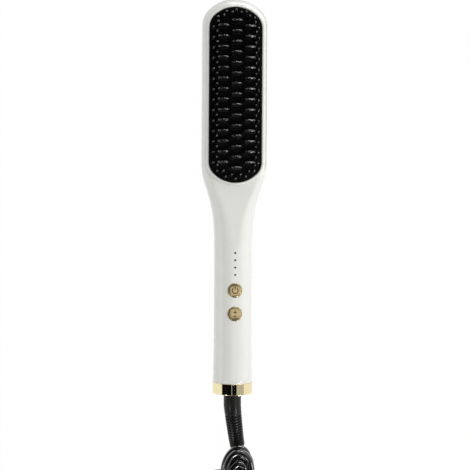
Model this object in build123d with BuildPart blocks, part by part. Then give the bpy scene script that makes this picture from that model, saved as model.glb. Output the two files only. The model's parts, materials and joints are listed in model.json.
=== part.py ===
from build123d import *
from math import asin, atan, atan2, cos, degrees, pi, radians, sin, sqrt, tan
import os

os.makedirs("parts", exist_ok=True)

# A hair straightening brush lying on its back. Millimetres, +Y from the handle to the head,
# +X to the right, +Z up out of the comb, the floor at z = 0.

# Head
HEAD_TIP = 141.0
HEAD_CUT = 24.0
HEAD_HALF_WIDTH = 23.3
HEAD_FRONT = 23.2
TIP_DEPTH, TIP_CORNER = 18.7, 15.0
BACK_ROUND, FRONT_ROUND = 12.0, 6.0
WALL = 2.0
SEAM = 14.4

# Opening for the comb, with the raised lip round it
OPENING_HALF_WIDTH = 18.9
OPENING_LOW, OPENING_HIGH = 9.2, 134.0
OPENING_DEPTH, OPENING_CORNER = 14.85, 12.0
LIP_WIDTH, LIP_TOP, LIP_ROOT, LIP_ROUND = 1.7, 24.8, 19.0, 0.7
SEAT_GROW, SEAT_HEIGHT = 1.7, 21.0

# Neck and handle sections: along, half width, back, front, front corner, back corner
STATIONS = [
    (HEAD_CUT, HEAD_HALF_WIDTH, 0.0, HEAD_FRONT, FRONT_ROUND, BACK_ROUND),
    (19.2, 23.0, 0.0, 23.2, 6.0, 12.0),
    (12.0, 21.6, 0.0, 23.25, 6.3, 11.8),
    (4.2, 19.1, 0.0, 23.6, 7.0, 11.6),
    (-3.0, 16.95, 0.0, 24.2, 8.0, 11.4),
    (-10.2, 15.35, 0.05, 25.0, 9.2, 11.3),
    (-17.4, 14.35, 0.15, 25.9, 10.3, 11.4),
    (-24.6, 13.85, 0.3, 26.7, 11.3, 11.6),
    (-33.0, 13.65, 0.45, 27.4, 12.2, 11.9),
    (-48.0, 13.6, 0.7, 27.9, 12.6, 12.2),
    (-70.0, 13.6, 0.8, 28.0, 12.7, 12.3),
    (-94.0, 13.6, 0.8, 28.0, 12.7, 12.3),
    (-116.0, 13.65, 0.75, 28.05, 12.7, 12.4),
    (-125.5, 13.9, 0.5, 28.3, 12.9, 12.7),
    (-133.1, 14.1, 0.3, 28.5, 13.1, 13.0),
]

# Cord end: everything turns about this axis
AXIS_HEIGHT = 14.4
RING_TOP, RING_END = -133.1, -141.0
RING_RADIUS, RING_BORE, RING_HOLE, RING_FLOOR = 14.4, 12.05, 6.8, 1.6
SPIGOT_RADIUS, SPIGOT_BORE, SPIGOT_END = 12.0, 10.2, -138.5
SOCKET_TOP = -124.0
JOURNAL_RADIUS, RUNNING_FIT = 5.0, 0.08

# Fins and pins of the comb
FIN_PITCH = 7.336
CENTRE_FINS, SIDE_FINS = 15, 14
FIN_LOW = 19.5
SIDE_FIN_X = 9.3
FIN_LENGTH, FIN_THICKNESS = 8.4, 1.9
FIN_ROOT, FIN_SHOULDER, FIN_TIP = 20.9, 33.2, 35.4
PIN_OUTER_INSET, PIN_INNER_INSET = 3.1, 5.3
PIN_OUTER_TIP, PIN_INNER_TIP = 29.5, 32.5
COMB_GAP = 0.15
FLANGE_GROW, FLANGE_BOTTOM, FLANGE_TOP = 1.5, 18.8, 20.9
COVER_BOTTOM, COMB_TOP = 22.2, 24.2
PLATE_INSET, PLATE_BOTTOM, PLATE_TOP = 2.6, 18.9, 22.1

# Buttons and lights on the handle
POWER_Y, TEMPERATURE_Y = -66.9, -83.5
LIGHT_Y = [-40.5, -45.6, -50.8, -55.9]
BUTTON_RADIUS, BUTTON_HOLE, BUTTON_BOSS = 4.95, 5.2, 7.4
BUTTON_FLANGE, BUTTON_TRAVEL = 5.9, 0.4
BUTTON_EDGE, BUTTON_TOP, BUTTON_BEVEL = 28.15, 28.55, 0.45
BUTTON_STEM, BUTTON_SEAT, FLANGE_SEAT = 1.9, 22.9, 23.7
BOSS_BOTTOM, BOSS_DEPTH = 24.0, 1.5
WELL_BOTTOM, WELL_DEPTH = 23.0, 8.0
LIGHT_HOLE = 0.75
BOARD_BOTTOM, BOARD_TOP = 15.0, 16.6
BOARD_LOW, BOARD_HIGH, BOARD_WIDTH = -106.0, -34.0, 17.0
BOARD_SCREWS = [(5.2, -61.5), (-5.2, -89.5)]
SCREW_CORE, SCREW_REACH, SCREW_HEAD, SCREW_HEAD_HEIGHT = 1.0, 6.0, 1.9, 1.4

# Cord
CORD = 4.4
CORD_SIDES = 8
BOOT_START, BOOT_BEND, BOOT_TIP = -138.9, -150.0, -181.0
BOOT_SIDE, BOOT_TIP_HEIGHT = 4.8, 6.2
BOOT_RADII = [(0.0, 6.3), (0.25, 6.05), (0.5, 5.8), (0.75, 5.6), (1.0, 5.45)]

# Hank: loops piled in four layers of two tracks, drawn in at the waist
HANK_LENGTH, HANK_RISE, HANK_X = 132.0, 9.65, 3.1
HANK_NEAR = -178.4
TRACK_STEP = 5.0
TRACK_OUTER, TRACK_INNER = 9.6, 4.6
HANK_RUNS = 13
HANK_START, HANK_EXIT = -44.0, -69.8
WAIST_BEND, CLIMB_BEND, CLIMB_REACH = 9.0, 7.0, 26.0
FOLD_TURN, INNER_TURN = 52.0, 60.0
SHOULDER_OUTER, SHOULDER_INNER, SHOULDER_SPREAD = 1.6, 1.0, 0.15
OUTER_CROWN, MIXED_CROWN = 5.4, 4.8
INNER_SHORT, MIXED_SHORT, FIRST_SHORT = 8.2, 2.6, 11.0
NEAR_SHIFTS = {1: 1.3, 3: -0.6}


def centre_places():
    """Places of the fins in the middle column."""
    return [(0, FIN_LOW + FIN_PITCH * row) for row in range(CENTRE_FINS)]


def side_places():
    """Places of the fins in the two outer columns, half a pitch on from the middle ones."""
    first = FIN_LOW + FIN_PITCH / 2
    rows = [first + FIN_PITCH * row for row in range(SIDE_FINS)]
    return [(side * SIDE_FIN_X, y) for side in (-1, 1) for y in rows]


def crown_radius(half_width, depth, corner):
    """Radius of the middle arc of a three-arc end that is tangent to both corner arcs."""
    return ((half_width - corner) ** 2 + depth**2 - corner**2) / (2 * (depth - corner))


def upright_face(half_width, low, high, depth, corner, square_low=False):
    """A face whose ends are three tangent arcs each. A square low end is cut straight."""
    crown = crown_radius(half_width, depth, corner)
    side_turn = degrees(atan2(crown - depth, half_width - corner))
    crown_turn = 180 - 2 * side_turn
    side_low = low if square_low else low + depth
    with BuildLine() as outline:
        Line((half_width, side_low), (half_width, high - depth))
        CenterArc((half_width - corner, high - depth), corner, 0, side_turn)
        CenterArc((0, high - crown), crown, side_turn, crown_turn)
        CenterArc((corner - half_width, high - depth), corner, 180 - side_turn, side_turn)
        Line((-half_width, high - depth), (-half_width, side_low))
        if square_low:
            Line((-half_width, low), (half_width, low))
        else:
            CenterArc((corner - half_width, side_low), corner, 180, side_turn)
            CenterArc((0, low + crown), crown, 180 + side_turn, crown_turn)
            CenterArc((half_width - corner, side_low), corner, 360 - side_turn, side_turn)
    make_face(outline.edges())


def opening_face(grow):
    """The comb opening's outline, grown outward or, below zero, drawn in."""
    upright_face(
        OPENING_HALF_WIDTH + grow,
        OPENING_LOW - grow,
        OPENING_HIGH + grow,
        OPENING_DEPTH + grow,
        OPENING_CORNER + grow,
    )


def section_face(half_width, back, front, front_corner, back_corner):
    """A rounded rectangle whose front and back corners differ."""
    with BuildLine() as outline:
        Line((back_corner - half_width, back), (half_width - back_corner, back))
        CenterArc((half_width - back_corner, back + back_corner), back_corner, -90, 90)
        Line((half_width, back + back_corner), (half_width, front - front_corner))
        CenterArc((half_width - front_corner, front - front_corner), front_corner, 0, 90)
        Line((half_width - front_corner, front), (front_corner - half_width, front))
        CenterArc((front_corner - half_width, front - front_corner), front_corner, 90, 90)
        Line((-half_width, front - front_corner), (-half_width, back + back_corner))
        CenterArc((back_corner - half_width, back + back_corner), back_corner, 180, 90)
    make_face(outline.edges())


def across(y, height=0.0):
    """The plane square to the brush at y, with its own y upward, facing the cord end."""
    return Plane(origin=(0, y, height), x_dir=(1, 0, 0), z_dir=(0, -1, 0))


def casing(inset):
    """The casing's outer form, or its inside when inset by the wall."""
    with BuildPart() as form:
        with BuildSketch(Plane.XY.offset(inset)):
            upright_face(
                HEAD_HALF_WIDTH - inset,
                HEAD_CUT,
                HEAD_TIP - inset,
                TIP_DEPTH - inset,
                TIP_CORNER - inset,
                square_low=True,
            )
        extrude(amount=HEAD_FRONT - 2 * inset)
        flats = form.faces().sort_by(Axis.Z)
        fillet(flats[0].edges().sort_by(Axis.Y)[1:], BACK_ROUND - inset)
        flats = form.faces().sort_by(Axis.Z)
        fillet(flats[-1].edges().sort_by(Axis.Y)[1:], FRONT_ROUND - inset)
        for y, half_width, back, front, front_corner, back_corner in STATIONS:
            with BuildSketch(across(max(y, RING_TOP + inset))):
                section_face(
                    half_width - inset,
                    back + inset,
                    front - inset,
                    front_corner - inset,
                    back_corner - inset,
                )
        loft()
    return form.part


def tube(route, radii, size, sides=0):
    """A tube along straight runs joined by arcs, round or with a few flat sides."""
    with BuildPart() as swept:
        with BuildLine() as path:
            FilletPolyline(*route, radius=radii)
        with BuildSketch(Plane(origin=route[0], z_dir=path.line % 0)):
            if sides:
                RegularPolygon(size / 2, sides)
            else:
                Circle(size / 2)
        sweep(path=path.line)
    return swept.part, path.wires()[0]


def bend_radii(route, taken):
    """Radius of each bend, from the length that it takes off the runs beside it."""
    radii = []
    for before, corner, after, length in zip(route, route[1:], route[2:], taken):
        turn = (corner - before).get_angle(after - corner)
        radii.append(length / tan(radians(turn / 2)))
    return radii


def easy_bends(route):
    """Bends as large as their runs allow."""
    taken = []
    for before, corner, after in zip(route, route[1:], route[2:]):
        taken.append(0.45 * min((corner - before).length, (after - corner).length))
    return bend_radii(route, taken)


def cord_report(name, part, line, radii):
    """Print a cord tube's bends, and its volume beside its section times its length."""
    section = CORD_SIDES / 2 * (CORD / 2) ** 2 * sin(2 * pi / CORD_SIDES)
    print(name, "radii", [round(radius, 1) for radius in radii])
    print(name, "length", round(line.length, 1), "volume", round(part.volume, 1))
    print(name, "section times length", round(section * line.length, 1))


# Casing
outer_form = casing(0)
inner_form = casing(WALL)

with BuildPart() as whole_shell:
    add(outer_form)
    with BuildSketch(Plane.XY.offset(LIP_ROOT)):
        opening_face(LIP_WIDTH)
    extrude(amount=LIP_TOP - LIP_ROOT)
    with BuildSketch(across(RING_TOP, AXIS_HEIGHT)):
        Circle(SPIGOT_RADIUS)
    extrude(amount=RING_TOP - SPIGOT_END)
    add(inner_form, mode=Mode.SUBTRACT)
    with BuildSketch(across(RING_TOP + WALL, AXIS_HEIGHT)):
        Circle(SPIGOT_BORE)
    extrude(amount=RING_TOP + WALL - SPIGOT_END, mode=Mode.SUBTRACT)

# Front shell: lip, comb seat, button wells and light holes
with BuildPart() as front_shell:
    add(whole_shell.part)
    split(bisect_by=Plane.XY.offset(SEAM), keep=Keep.TOP)
    with BuildSketch(Plane.XY.offset(SEAM)):
        opening_face(0)
    extrude(amount=LIP_TOP, mode=Mode.SUBTRACT)
    with BuildSketch(Plane.XY.offset(SEAM)):
        opening_face(SEAT_GROW)
    extrude(amount=SEAT_HEIGHT - SEAM, mode=Mode.SUBTRACT)
    lip_edges = front_shell.edges().filter_by_position(Axis.Z, LIP_TOP - 0.01, LIP_TOP + 0.01)
    fillet(lip_edges, LIP_ROUND)
    with BuildSketch(Plane.XY.offset(BOSS_BOTTOM)):
        with Locations((0, POWER_Y), (0, TEMPERATURE_Y)):
            Circle(BUTTON_BOSS)
    extrude(amount=BOSS_DEPTH)
    with BuildSketch(Plane.XY.offset(WELL_BOTTOM)):
        with Locations((0, POWER_Y), (0, TEMPERATURE_Y)):
            Circle(BUTTON_HOLE)
        with Locations(*[(0, y) for y in LIGHT_Y]):
            Circle(LIGHT_HOLE)
    extrude(amount=WELL_DEPTH, mode=Mode.SUBTRACT)
front_shell.part.label = "front_shell"
export_step(front_shell.part, "parts/front_shell.step")

# Back shell: posts for the board and the baffle, ribs under the comb flange, snap tongues
BAFFLE_BOTTOM, BAFFLE_THICKNESS = 9.6, 0.8
BAFFLE_POSTS = [(x, y) for x in (-11, 11) for y in (42, 102)]
BAFFLE_POST, BAFFLE_POST_FOOT, BAFFLE_STAKE = 2.6, 1.0, 1.2
BOARD_POST, BOARD_POST_FOOT = 2.2, 2.7
RIBS = [(side * 19.6, y) for side in (-1, 1) for y in (34, 72, 110)]
RIB_FOOT, RIB_ACROSS, RIB_ALONG = 6.0, 2.6, 5.0
TONGUES = [(side * 10.5, y) for side in (-1, 1) for y in (-22, -58, -96)]
TONGUE_FOOT, TONGUE_TOP, TONGUE_ACROSS, TONGUE_ALONG = 6.3, 17.0, 1.2, 6.0
with BuildPart() as back_shell:
    add(whole_shell.part)
    split(bisect_by=Plane.XY.offset(SEAM), keep=Keep.BOTTOM)
    with BuildSketch(Plane.XY.offset(BAFFLE_POST_FOOT)):
        with Locations(*BAFFLE_POSTS):
            Circle(BAFFLE_POST)
    extrude(amount=BAFFLE_BOTTOM - BAFFLE_POST_FOOT)
    with BuildSketch(Plane.XY.offset(BAFFLE_BOTTOM)):
        with Locations(*BAFFLE_POSTS):
            Circle(BAFFLE_STAKE)
    extrude(amount=2 * BAFFLE_THICKNESS)
    with BuildSketch(Plane.XY.offset(BOARD_POST_FOOT)):
        with Locations(*BOARD_SCREWS):
            Circle(BOARD_POST)
    extrude(amount=BOARD_BOTTOM - BOARD_POST_FOOT)
    with BuildSketch(Plane.XY.offset(BOARD_BOTTOM)):
        with Locations(*BOARD_SCREWS):
            Circle(SCREW_CORE)
    extrude(amount=-SCREW_REACH, mode=Mode.SUBTRACT)
    with BuildSketch(Plane.XY.offset(RIB_FOOT)):
        with Locations(*RIBS):
            Rectangle(RIB_ACROSS, RIB_ALONG)
    extrude(amount=FLANGE_BOTTOM - RIB_FOOT)
    with BuildSketch(Plane.XY.offset(TONGUE_FOOT)):
        with Locations(*TONGUES):
            Rectangle(TONGUE_ACROSS, TONGUE_ALONG)
    extrude(amount=TONGUE_TOP - TONGUE_FOOT)
back_shell.part.label = "back_shell"
export_step(back_shell.part, "parts/back_shell.step")

# Comb frame: a black cover with a slot for each fin and a flange under the front shell
COMB_CHAMFER, PLATE_FIT, FIN_FIT = 0.5, 0.2, 0.3
with BuildPart() as comb_frame:
    with BuildSketch(Plane.XY.offset(FLANGE_BOTTOM)):
        opening_face(FLANGE_GROW)
    extrude(amount=FLANGE_TOP - FLANGE_BOTTOM)
    with BuildSketch(Plane.XY.offset(FLANGE_TOP)):
        opening_face(-COMB_GAP)
    extrude(amount=COMB_TOP - FLANGE_TOP)
    top_edges = comb_frame.faces().sort_by(Axis.Z)[-1].edges()
    chamfer(top_edges, COMB_CHAMFER)
    with BuildSketch(Plane.XY.offset(FLANGE_BOTTOM)):
        opening_face(PLATE_FIT - PLATE_INSET)
    extrude(amount=COVER_BOTTOM - FLANGE_BOTTOM, mode=Mode.SUBTRACT)
    with BuildSketch(Plane.XY.offset(COVER_BOTTOM)):
        with Locations(*centre_places(), *side_places()):
            Rectangle(FIN_LENGTH + FIN_FIT, FIN_THICKNESS + FIN_FIT)
    extrude(amount=COMB_TOP - COVER_BOTTOM, mode=Mode.SUBTRACT)
comb_frame.part.label = "comb_frame"
export_step(comb_frame.part, "parts/comb_frame.step")


def end_place(step, inset):
    """A place near the middle of the comb's far end: steps along the end, and an inset."""
    middle = (PIN_OUTER_INSET + PIN_INNER_INSET) / 2
    half_width, depth = OPENING_HALF_WIDTH - middle, OPENING_DEPTH - middle
    corner = OPENING_CORNER - middle
    crown = crown_radius(half_width, depth, corner)
    side_turn = atan2(crown - depth, half_width - corner)
    crown_half = crown * (pi / 2 - side_turn)
    row_rise = asin((FIN_LOW + FIN_PITCH * (CENTRE_FINS - 1) - OPENING_HIGH + OPENING_DEPTH) / corner)
    end_half = crown_half + corner * (side_turn - row_rise)
    distance = end_half * step / 5
    if distance <= crown_half:
        turn = pi / 2 - distance / crown
        centre, radius = (0, OPENING_HIGH - middle - crown), crown
    else:
        turn = side_turn - (distance - crown_half) / corner
        centre, radius = (half_width - corner, OPENING_HIGH - middle - depth), corner
    reach = radius + middle - inset
    return centre[0] + reach * cos(turn), centre[1] + reach * sin(turn)


def pin_places(inner):
    """Places of the inner or the outer ring of guard pins."""
    inset = PIN_INNER_INSET if inner else PIN_OUTER_INSET
    centre_line = OPENING_LOW + OPENING_HIGH
    places = []
    for row in range(1, 2 * CENTRE_FINS - 2):
        if (row % 2 == 0) == inner:
            y = FIN_LOW + FIN_PITCH / 2 * row
            places += [(side * (OPENING_HALF_WIDTH - inset), y) for side in (-1, 1)]
    for step in range(6):
        if (step % 2 == 1) == inner:
            x, y = end_place(step, inset)
            places += [(side * x, y) for side in ((-1, 1) if step else (1,))]
            places += [(side * x, centre_line - y) for side in ((-1, 1) if step else (1,))]
    return places


# Guard pins: two staggered rings round the comb
PIN_SIDES, PIN_ROOT, PIN_END = 6, 1.05, 0.55
with BuildPart() as guard_pins:
    for inner, tip in ((False, PIN_OUTER_TIP), (True, PIN_INNER_TIP)):
        with BuildSketch(Plane.XY.offset(COMB_TOP)):
            with Locations(*pin_places(inner)):
                RegularPolygon(PIN_ROOT, PIN_SIDES)
        rise = tip - COMB_TOP
        slant = degrees(atan((PIN_ROOT - PIN_END) * cos(pi / PIN_SIDES) / rise))
        extrude(amount=rise, taper=slant)
guard_pins.part.label = "guard_pins"
export_step(guard_pins.part, "parts/guard_pins.step")

# Heating plate with a socket for each fin and blind holes for the clamp screws
CLAMP_SCREWS = [(x, y) for x in (-12.6, 12.6) for y in (34, 110)]
CLAMP_CORE, CLAMP_REACH, CLAMP_HEAD, CLAMP_FIT = 1.4, 1.6, 2.6, 0.1
with BuildPart() as heating_plate:
    with BuildSketch(Plane.XY.offset(PLATE_BOTTOM)):
        opening_face(-PLATE_INSET)
    extrude(amount=PLATE_TOP - PLATE_BOTTOM)
    with BuildSketch(Plane.XY.offset(FIN_ROOT)):
        with Locations(*centre_places(), *side_places()):
            Rectangle(FIN_LENGTH, FIN_THICKNESS)
    extrude(amount=PLATE_TOP - FIN_ROOT, mode=Mode.SUBTRACT)
    with BuildSketch(Plane.XY.offset(PLATE_BOTTOM)):
        with Locations(*CLAMP_SCREWS):
            Circle(CLAMP_CORE)
    extrude(amount=CLAMP_REACH + CLAMP_FIT, mode=Mode.SUBTRACT)
heating_plate.part.label = "heating_plate"
export_step(heating_plate.part, "parts/heating_plate.step")


def fin_section(height, length, thickness, corner):
    """A rectangle with cut corners, at a height up the fin."""
    with BuildSketch(Plane.XY.offset(height)) as section:
        Rectangle(length, thickness)
        chamfer(section.vertices(), corner)
    return section.sketch


# Heating fins: one tapered blade with a crowned tip, repeated in three columns
fin_blade = [
    fin_section(FIN_ROOT, FIN_LENGTH, FIN_THICKNESS, 0.5),
    fin_section(FIN_SHOULDER, 7.9, 1.4, 0.4),
    fin_section(FIN_TIP, 5.6, 0.7, 0.2),
]
with BuildPart() as fin:
    loft(fin_blade, ruled=True)
with BuildPart() as heating_fins:
    with Locations(*centre_places(), *side_places()):
        add(fin.part)
heating_fins.part.label = "heating_fins"
export_step(heating_fins.part, "parts/heating_fins.step")

# Heater strip under the plate, with its mica sheet and its clamp
HEATER_MIDDLE = 72.0
STRIP_THICKNESS, MICA_THICKNESS, CLAMP_THICKNESS = 2.0, 0.4, 1.2
STRIP_BOTTOM = PLATE_BOTTOM - STRIP_THICKNESS
MICA_BOTTOM = STRIP_BOTTOM - MICA_THICKNESS
CLAMP_BOTTOM = MICA_BOTTOM - CLAMP_THICKNESS
with BuildPart() as heater_strip:
    with BuildSketch(Plane.XY.offset(STRIP_BOTTOM)):
        with Locations((0, HEATER_MIDDLE)):
            Rectangle(18, 100)
    extrude(amount=STRIP_THICKNESS)
heater_strip.part.label = "heater_strip"
export_step(heater_strip.part, "parts/heater_strip.step")

with BuildPart() as mica_sheet:
    with BuildSketch(Plane.XY.offset(MICA_BOTTOM)):
        with Locations((0, HEATER_MIDDLE)):
            Rectangle(20, 104)
    extrude(amount=MICA_THICKNESS)
mica_sheet.part.label = "mica_sheet"
export_step(mica_sheet.part, "parts/mica_sheet.step")

with BuildPart() as heater_clamp:
    with BuildSketch(Plane.XY.offset(CLAMP_BOTTOM)):
        with Locations((0, HEATER_MIDDLE)):
            Rectangle(18, 102)
        with Locations((0, 34), (0, 110)):
            RectangleRounded(31, 9, 3)
        with Locations(*CLAMP_SCREWS):
            Circle(CLAMP_CORE + CLAMP_FIT, mode=Mode.SUBTRACT)
    extrude(amount=CLAMP_THICKNESS)
heater_clamp.part.label = "heater_clamp"
export_step(heater_clamp.part, "parts/heater_clamp.step")

with BuildPart() as clamp_screws:
    with BuildSketch(Plane.XY.offset(CLAMP_BOTTOM)):
        with Locations(*CLAMP_SCREWS):
            Circle(CLAMP_HEAD)
    extrude(amount=-1.6)
    with BuildSketch(Plane.XY.offset(CLAMP_BOTTOM)):
        with Locations(*CLAMP_SCREWS):
            Circle(CLAMP_CORE)
    extrude(amount=PLATE_BOTTOM + CLAMP_REACH - CLAMP_BOTTOM)
clamp_screws.part.label = "clamp_screws"
export_step(clamp_screws.part, "parts/clamp_screws.step")

# Thermal fuse and temperature sensor, held against the clamp
FUSE_RADIUS, SENSOR_RADIUS = 2.0, 1.3
with BuildPart() as thermal_fuse:
    with BuildSketch(across(66, CLAMP_BOTTOM - FUSE_RADIUS)):
        with Locations((5, 0)):
            Circle(FUSE_RADIUS)
    extrude(amount=12)
    with BuildSketch(across(70, CLAMP_BOTTOM - FUSE_RADIUS)):
        with Locations((5, 0)):
            Circle(0.5)
    extrude(amount=20)
thermal_fuse.part.label = "thermal_fuse"
export_step(thermal_fuse.part, "parts/thermal_fuse.step")

with BuildPart() as temperature_sensor:
    with BuildSketch(across(64, CLAMP_BOTTOM - SENSOR_RADIUS)):
        with Locations((-5, 0)):
            Circle(SENSOR_RADIUS)
    extrude(amount=9)
temperature_sensor.part.label = "temperature_sensor"
export_step(temperature_sensor.part, "parts/temperature_sensor.step")

# Heat baffle: a sheet staked to four posts of the back shell
with BuildPart() as heat_baffle:
    with BuildSketch(Plane.XY.offset(BAFFLE_BOTTOM)):
        with Locations((0, HEATER_MIDDLE)):
            RectangleRounded(34, 106, 8)
        with Locations(*BAFFLE_POSTS):
            Circle(BAFFLE_STAKE, mode=Mode.SUBTRACT)
    extrude(amount=BAFFLE_THICKNESS)
heat_baffle.part.label = "heat_baffle"
export_step(heat_baffle.part, "parts/heat_baffle.step")

# Circuit board and what stands on it
with BuildPart() as circuit_board:
    with BuildSketch(Plane.XY.offset(BOARD_BOTTOM)):
        with Locations((0, (BOARD_LOW + BOARD_HIGH) / 2)):
            Rectangle(BOARD_WIDTH, BOARD_HIGH - BOARD_LOW)
        with Locations(*BOARD_SCREWS):
            Circle(SCREW_CORE + 0.1, mode=Mode.SUBTRACT)
    extrude(amount=BOARD_TOP - BOARD_BOTTOM)
circuit_board.part.label = "circuit_board"
export_step(circuit_board.part, "parts/circuit_board.step")

with BuildPart() as board_screws:
    with BuildSketch(Plane.XY.offset(BOARD_TOP)):
        with Locations(*BOARD_SCREWS):
            Circle(SCREW_HEAD)
    extrude(amount=SCREW_HEAD_HEIGHT)
    with BuildSketch(Plane.XY.offset(BOARD_TOP)):
        with Locations(*BOARD_SCREWS):
            Circle(SCREW_CORE)
    extrude(amount=-SCREW_REACH)
board_screws.part.label = "board_screws"
export_step(board_screws.part, "parts/board_screws.step")

# Push switches on the board, their plungers and the gold buttons over them
SWITCH_SIDE, SWITCH_TOP, SWITCH_FIT = 6.0, 20.1, 0.15
PLUNGER_RADIUS, PLUNGER_FOOT, PLUNGER_TOP = 1.7, 19.1, 21.6


def switch_body(y):
    """A push switch with a well for its plunger."""
    with BuildPart() as body:
        with BuildSketch(Plane.XY.offset(BOARD_TOP)):
            with Locations((0, y)):
                Rectangle(SWITCH_SIDE, SWITCH_SIDE)
        extrude(amount=SWITCH_TOP - BOARD_TOP)
        with BuildSketch(Plane.XY.offset(SWITCH_TOP)):
            with Locations((0, y)):
                Circle(PLUNGER_RADIUS + SWITCH_FIT)
        extrude(amount=PLUNGER_FOOT - BUTTON_TRAVEL - SWITCH_FIT - SWITCH_TOP, mode=Mode.SUBTRACT)
    return body.part


def switch_plunger(y):
    """The part of a push switch that the button pushes down."""
    with BuildPart() as plunger:
        with BuildSketch(Plane.XY.offset(PLUNGER_FOOT)):
            with Locations((0, y)):
                Circle(PLUNGER_RADIUS)
        extrude(amount=PLUNGER_TOP - PLUNGER_FOOT)
    return plunger.part


def button_cap(y):
    """A domed round cap with a retaining flange and a stem on the switch plunger."""
    dome_half, dome_rise = BUTTON_RADIUS - BUTTON_BEVEL, BUTTON_TOP - BUTTON_EDGE
    dome_radius = (dome_half**2 + dome_rise**2) / (2 * dome_rise)
    dome_middle = BUTTON_TOP - dome_radius + sqrt(dome_radius**2 - dome_half**2 / 4)
    with BuildPart() as cap:
        with BuildSketch(across(y)):
            with BuildLine() as profile:
                Polyline(
                    (0, PLUNGER_TOP),
                    (BUTTON_STEM, PLUNGER_TOP),
                    (BUTTON_STEM, BUTTON_SEAT),
                    (BUTTON_FLANGE, BUTTON_SEAT),
                    (BUTTON_FLANGE, FLANGE_SEAT),
                    (BUTTON_RADIUS, FLANGE_SEAT),
                    (BUTTON_RADIUS, BUTTON_EDGE - BUTTON_BEVEL),
                    (dome_half, BUTTON_EDGE),
                )
                dome = ThreePointArc(
                    (dome_half, BUTTON_EDGE), (dome_half / 2, dome_middle), (0, BUTTON_TOP)
                )
                Line(dome @ 1, (0, PLUNGER_TOP))
            make_face()
        revolve(axis=Axis((0, y, 0), (0, 0, 1)))
    return cap.part


power_switch = switch_body(POWER_Y)
power_switch.label = "power_switch"
export_step(power_switch, "parts/power_switch.step")
temperature_switch = switch_body(TEMPERATURE_Y)
temperature_switch.label = "temperature_switch"
export_step(temperature_switch, "parts/temperature_switch.step")
power_plunger = switch_plunger(POWER_Y)
power_plunger.label = "power_plunger"
export_step(power_plunger, "parts/power_plunger.step")
temperature_plunger = switch_plunger(TEMPERATURE_Y)
temperature_plunger.label = "temperature_plunger"
export_step(temperature_plunger, "parts/temperature_plunger.step")
power_button = button_cap(POWER_Y)
power_button.label = "power_button"
export_step(power_button, "parts/power_button.step")
temperature_button = button_cap(TEMPERATURE_Y)
temperature_button.label = "temperature_button"
export_step(temperature_button, "parts/temperature_button.step")

# Status lights: four LEDs on the board and a clear guide that carries them to the front
GUIDE_BOTTOM, GUIDE_TOP, GUIDE_FRONT = 18.2, 20.0, 27.45
GUIDE_WIDTH, GUIDE_OVER, GUIDE_FOOT = 2.4, 2.6, 1.0
with BuildPart() as status_leds:
    with BuildSketch(Plane.XY.offset(BOARD_TOP)):
        with Locations(*[(0, y) for y in LIGHT_Y]):
            Rectangle(1.2, 2.0)
    extrude(amount=0.8)
status_leds.part.label = "status_leds"
export_step(status_leds.part, "parts/status_leds.step")

with BuildPart() as light_guide:
    with BuildSketch(Plane.XY.offset(GUIDE_BOTTOM)):
        with Locations((0, (LIGHT_Y[0] + LIGHT_Y[-1]) / 2)):
            Rectangle(GUIDE_WIDTH, LIGHT_Y[0] - LIGHT_Y[-1] + 2 * GUIDE_OVER)
    extrude(amount=GUIDE_TOP - GUIDE_BOTTOM)
    foot_reach = GUIDE_OVER - GUIDE_FOOT / 2
    with BuildSketch(Plane.XY.offset(BOARD_TOP)):
        with Locations((0, LIGHT_Y[0] + foot_reach), (0, LIGHT_Y[-1] - foot_reach)):
            Rectangle(GUIDE_WIDTH, GUIDE_FOOT)
    extrude(amount=GUIDE_BOTTOM - BOARD_TOP)
    with BuildSketch(Plane.XY.offset(GUIDE_TOP)):
        with Locations(*[(0, y) for y in LIGHT_Y]):
            RegularPolygon(0.65, 8)
    extrude(amount=GUIDE_FRONT - GUIDE_TOP)
light_guide.part.label = "light_guide"
export_step(light_guide.part, "parts/light_guide.step")

# Capacitor, triac and terminal block on the board
CAPACITOR_RADIUS, CAPACITOR_LENGTH, CAPACITOR_TOP = 3.5, 9.0, -90.2
with BuildPart() as supply_capacitor:
    with BuildSketch(across(CAPACITOR_TOP, BOARD_TOP + CAPACITOR_RADIUS)):
        with Locations((4.2, 0)):
            Circle(CAPACITOR_RADIUS)
    extrude(amount=CAPACITOR_LENGTH)
supply_capacitor.part.label = "supply_capacitor"
export_step(supply_capacitor.part, "parts/supply_capacitor.step")

with BuildPart() as power_triac:
    with BuildSketch(Plane.XY.offset(BOARD_TOP)):
        with Locations((-4.6, -96.2)):
            Rectangle(7, 7.6)
    extrude(amount=4.4)
power_triac.part.label = "power_triac"
export_step(power_triac.part, "parts/power_triac.step")

TERMINAL_END, TERMINAL_LENGTH = BOARD_LOW + 0.4, 4.8
with BuildPart() as terminal_block:
    with BuildSketch(Plane.XY.offset(BOARD_TOP)):
        with Locations((0, TERMINAL_END + TERMINAL_LENGTH / 2)):
            Rectangle(12, TERMINAL_LENGTH)
    extrude(amount=6.6)
terminal_block.part.label = "terminal_block"
export_step(terminal_block.part, "parts/terminal_block.step")

# End ring: a gold cup over the shells' spigot
RIM_ROUND = 0.45
with BuildPart() as end_ring:
    with BuildSketch(across(RING_TOP, AXIS_HEIGHT)):
        Circle(RING_RADIUS)
    extrude(amount=RING_TOP - RING_END)
    rims = end_ring.edges().filter_by(GeomType.CIRCLE)
    fillet(rims, RIM_ROUND)
    with BuildSketch(across(RING_TOP, AXIS_HEIGHT)):
        Circle(RING_BORE)
    extrude(amount=RING_TOP - RING_END - RING_FLOOR, mode=Mode.SUBTRACT)
    with BuildSketch(across(RING_TOP, AXIS_HEIGHT)):
        Circle(RING_HOLE)
    extrude(amount=RING_TOP - RING_END, mode=Mode.SUBTRACT)
end_ring.part.label = "end_ring"
export_step(end_ring.part, "parts/end_ring.step")

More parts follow.
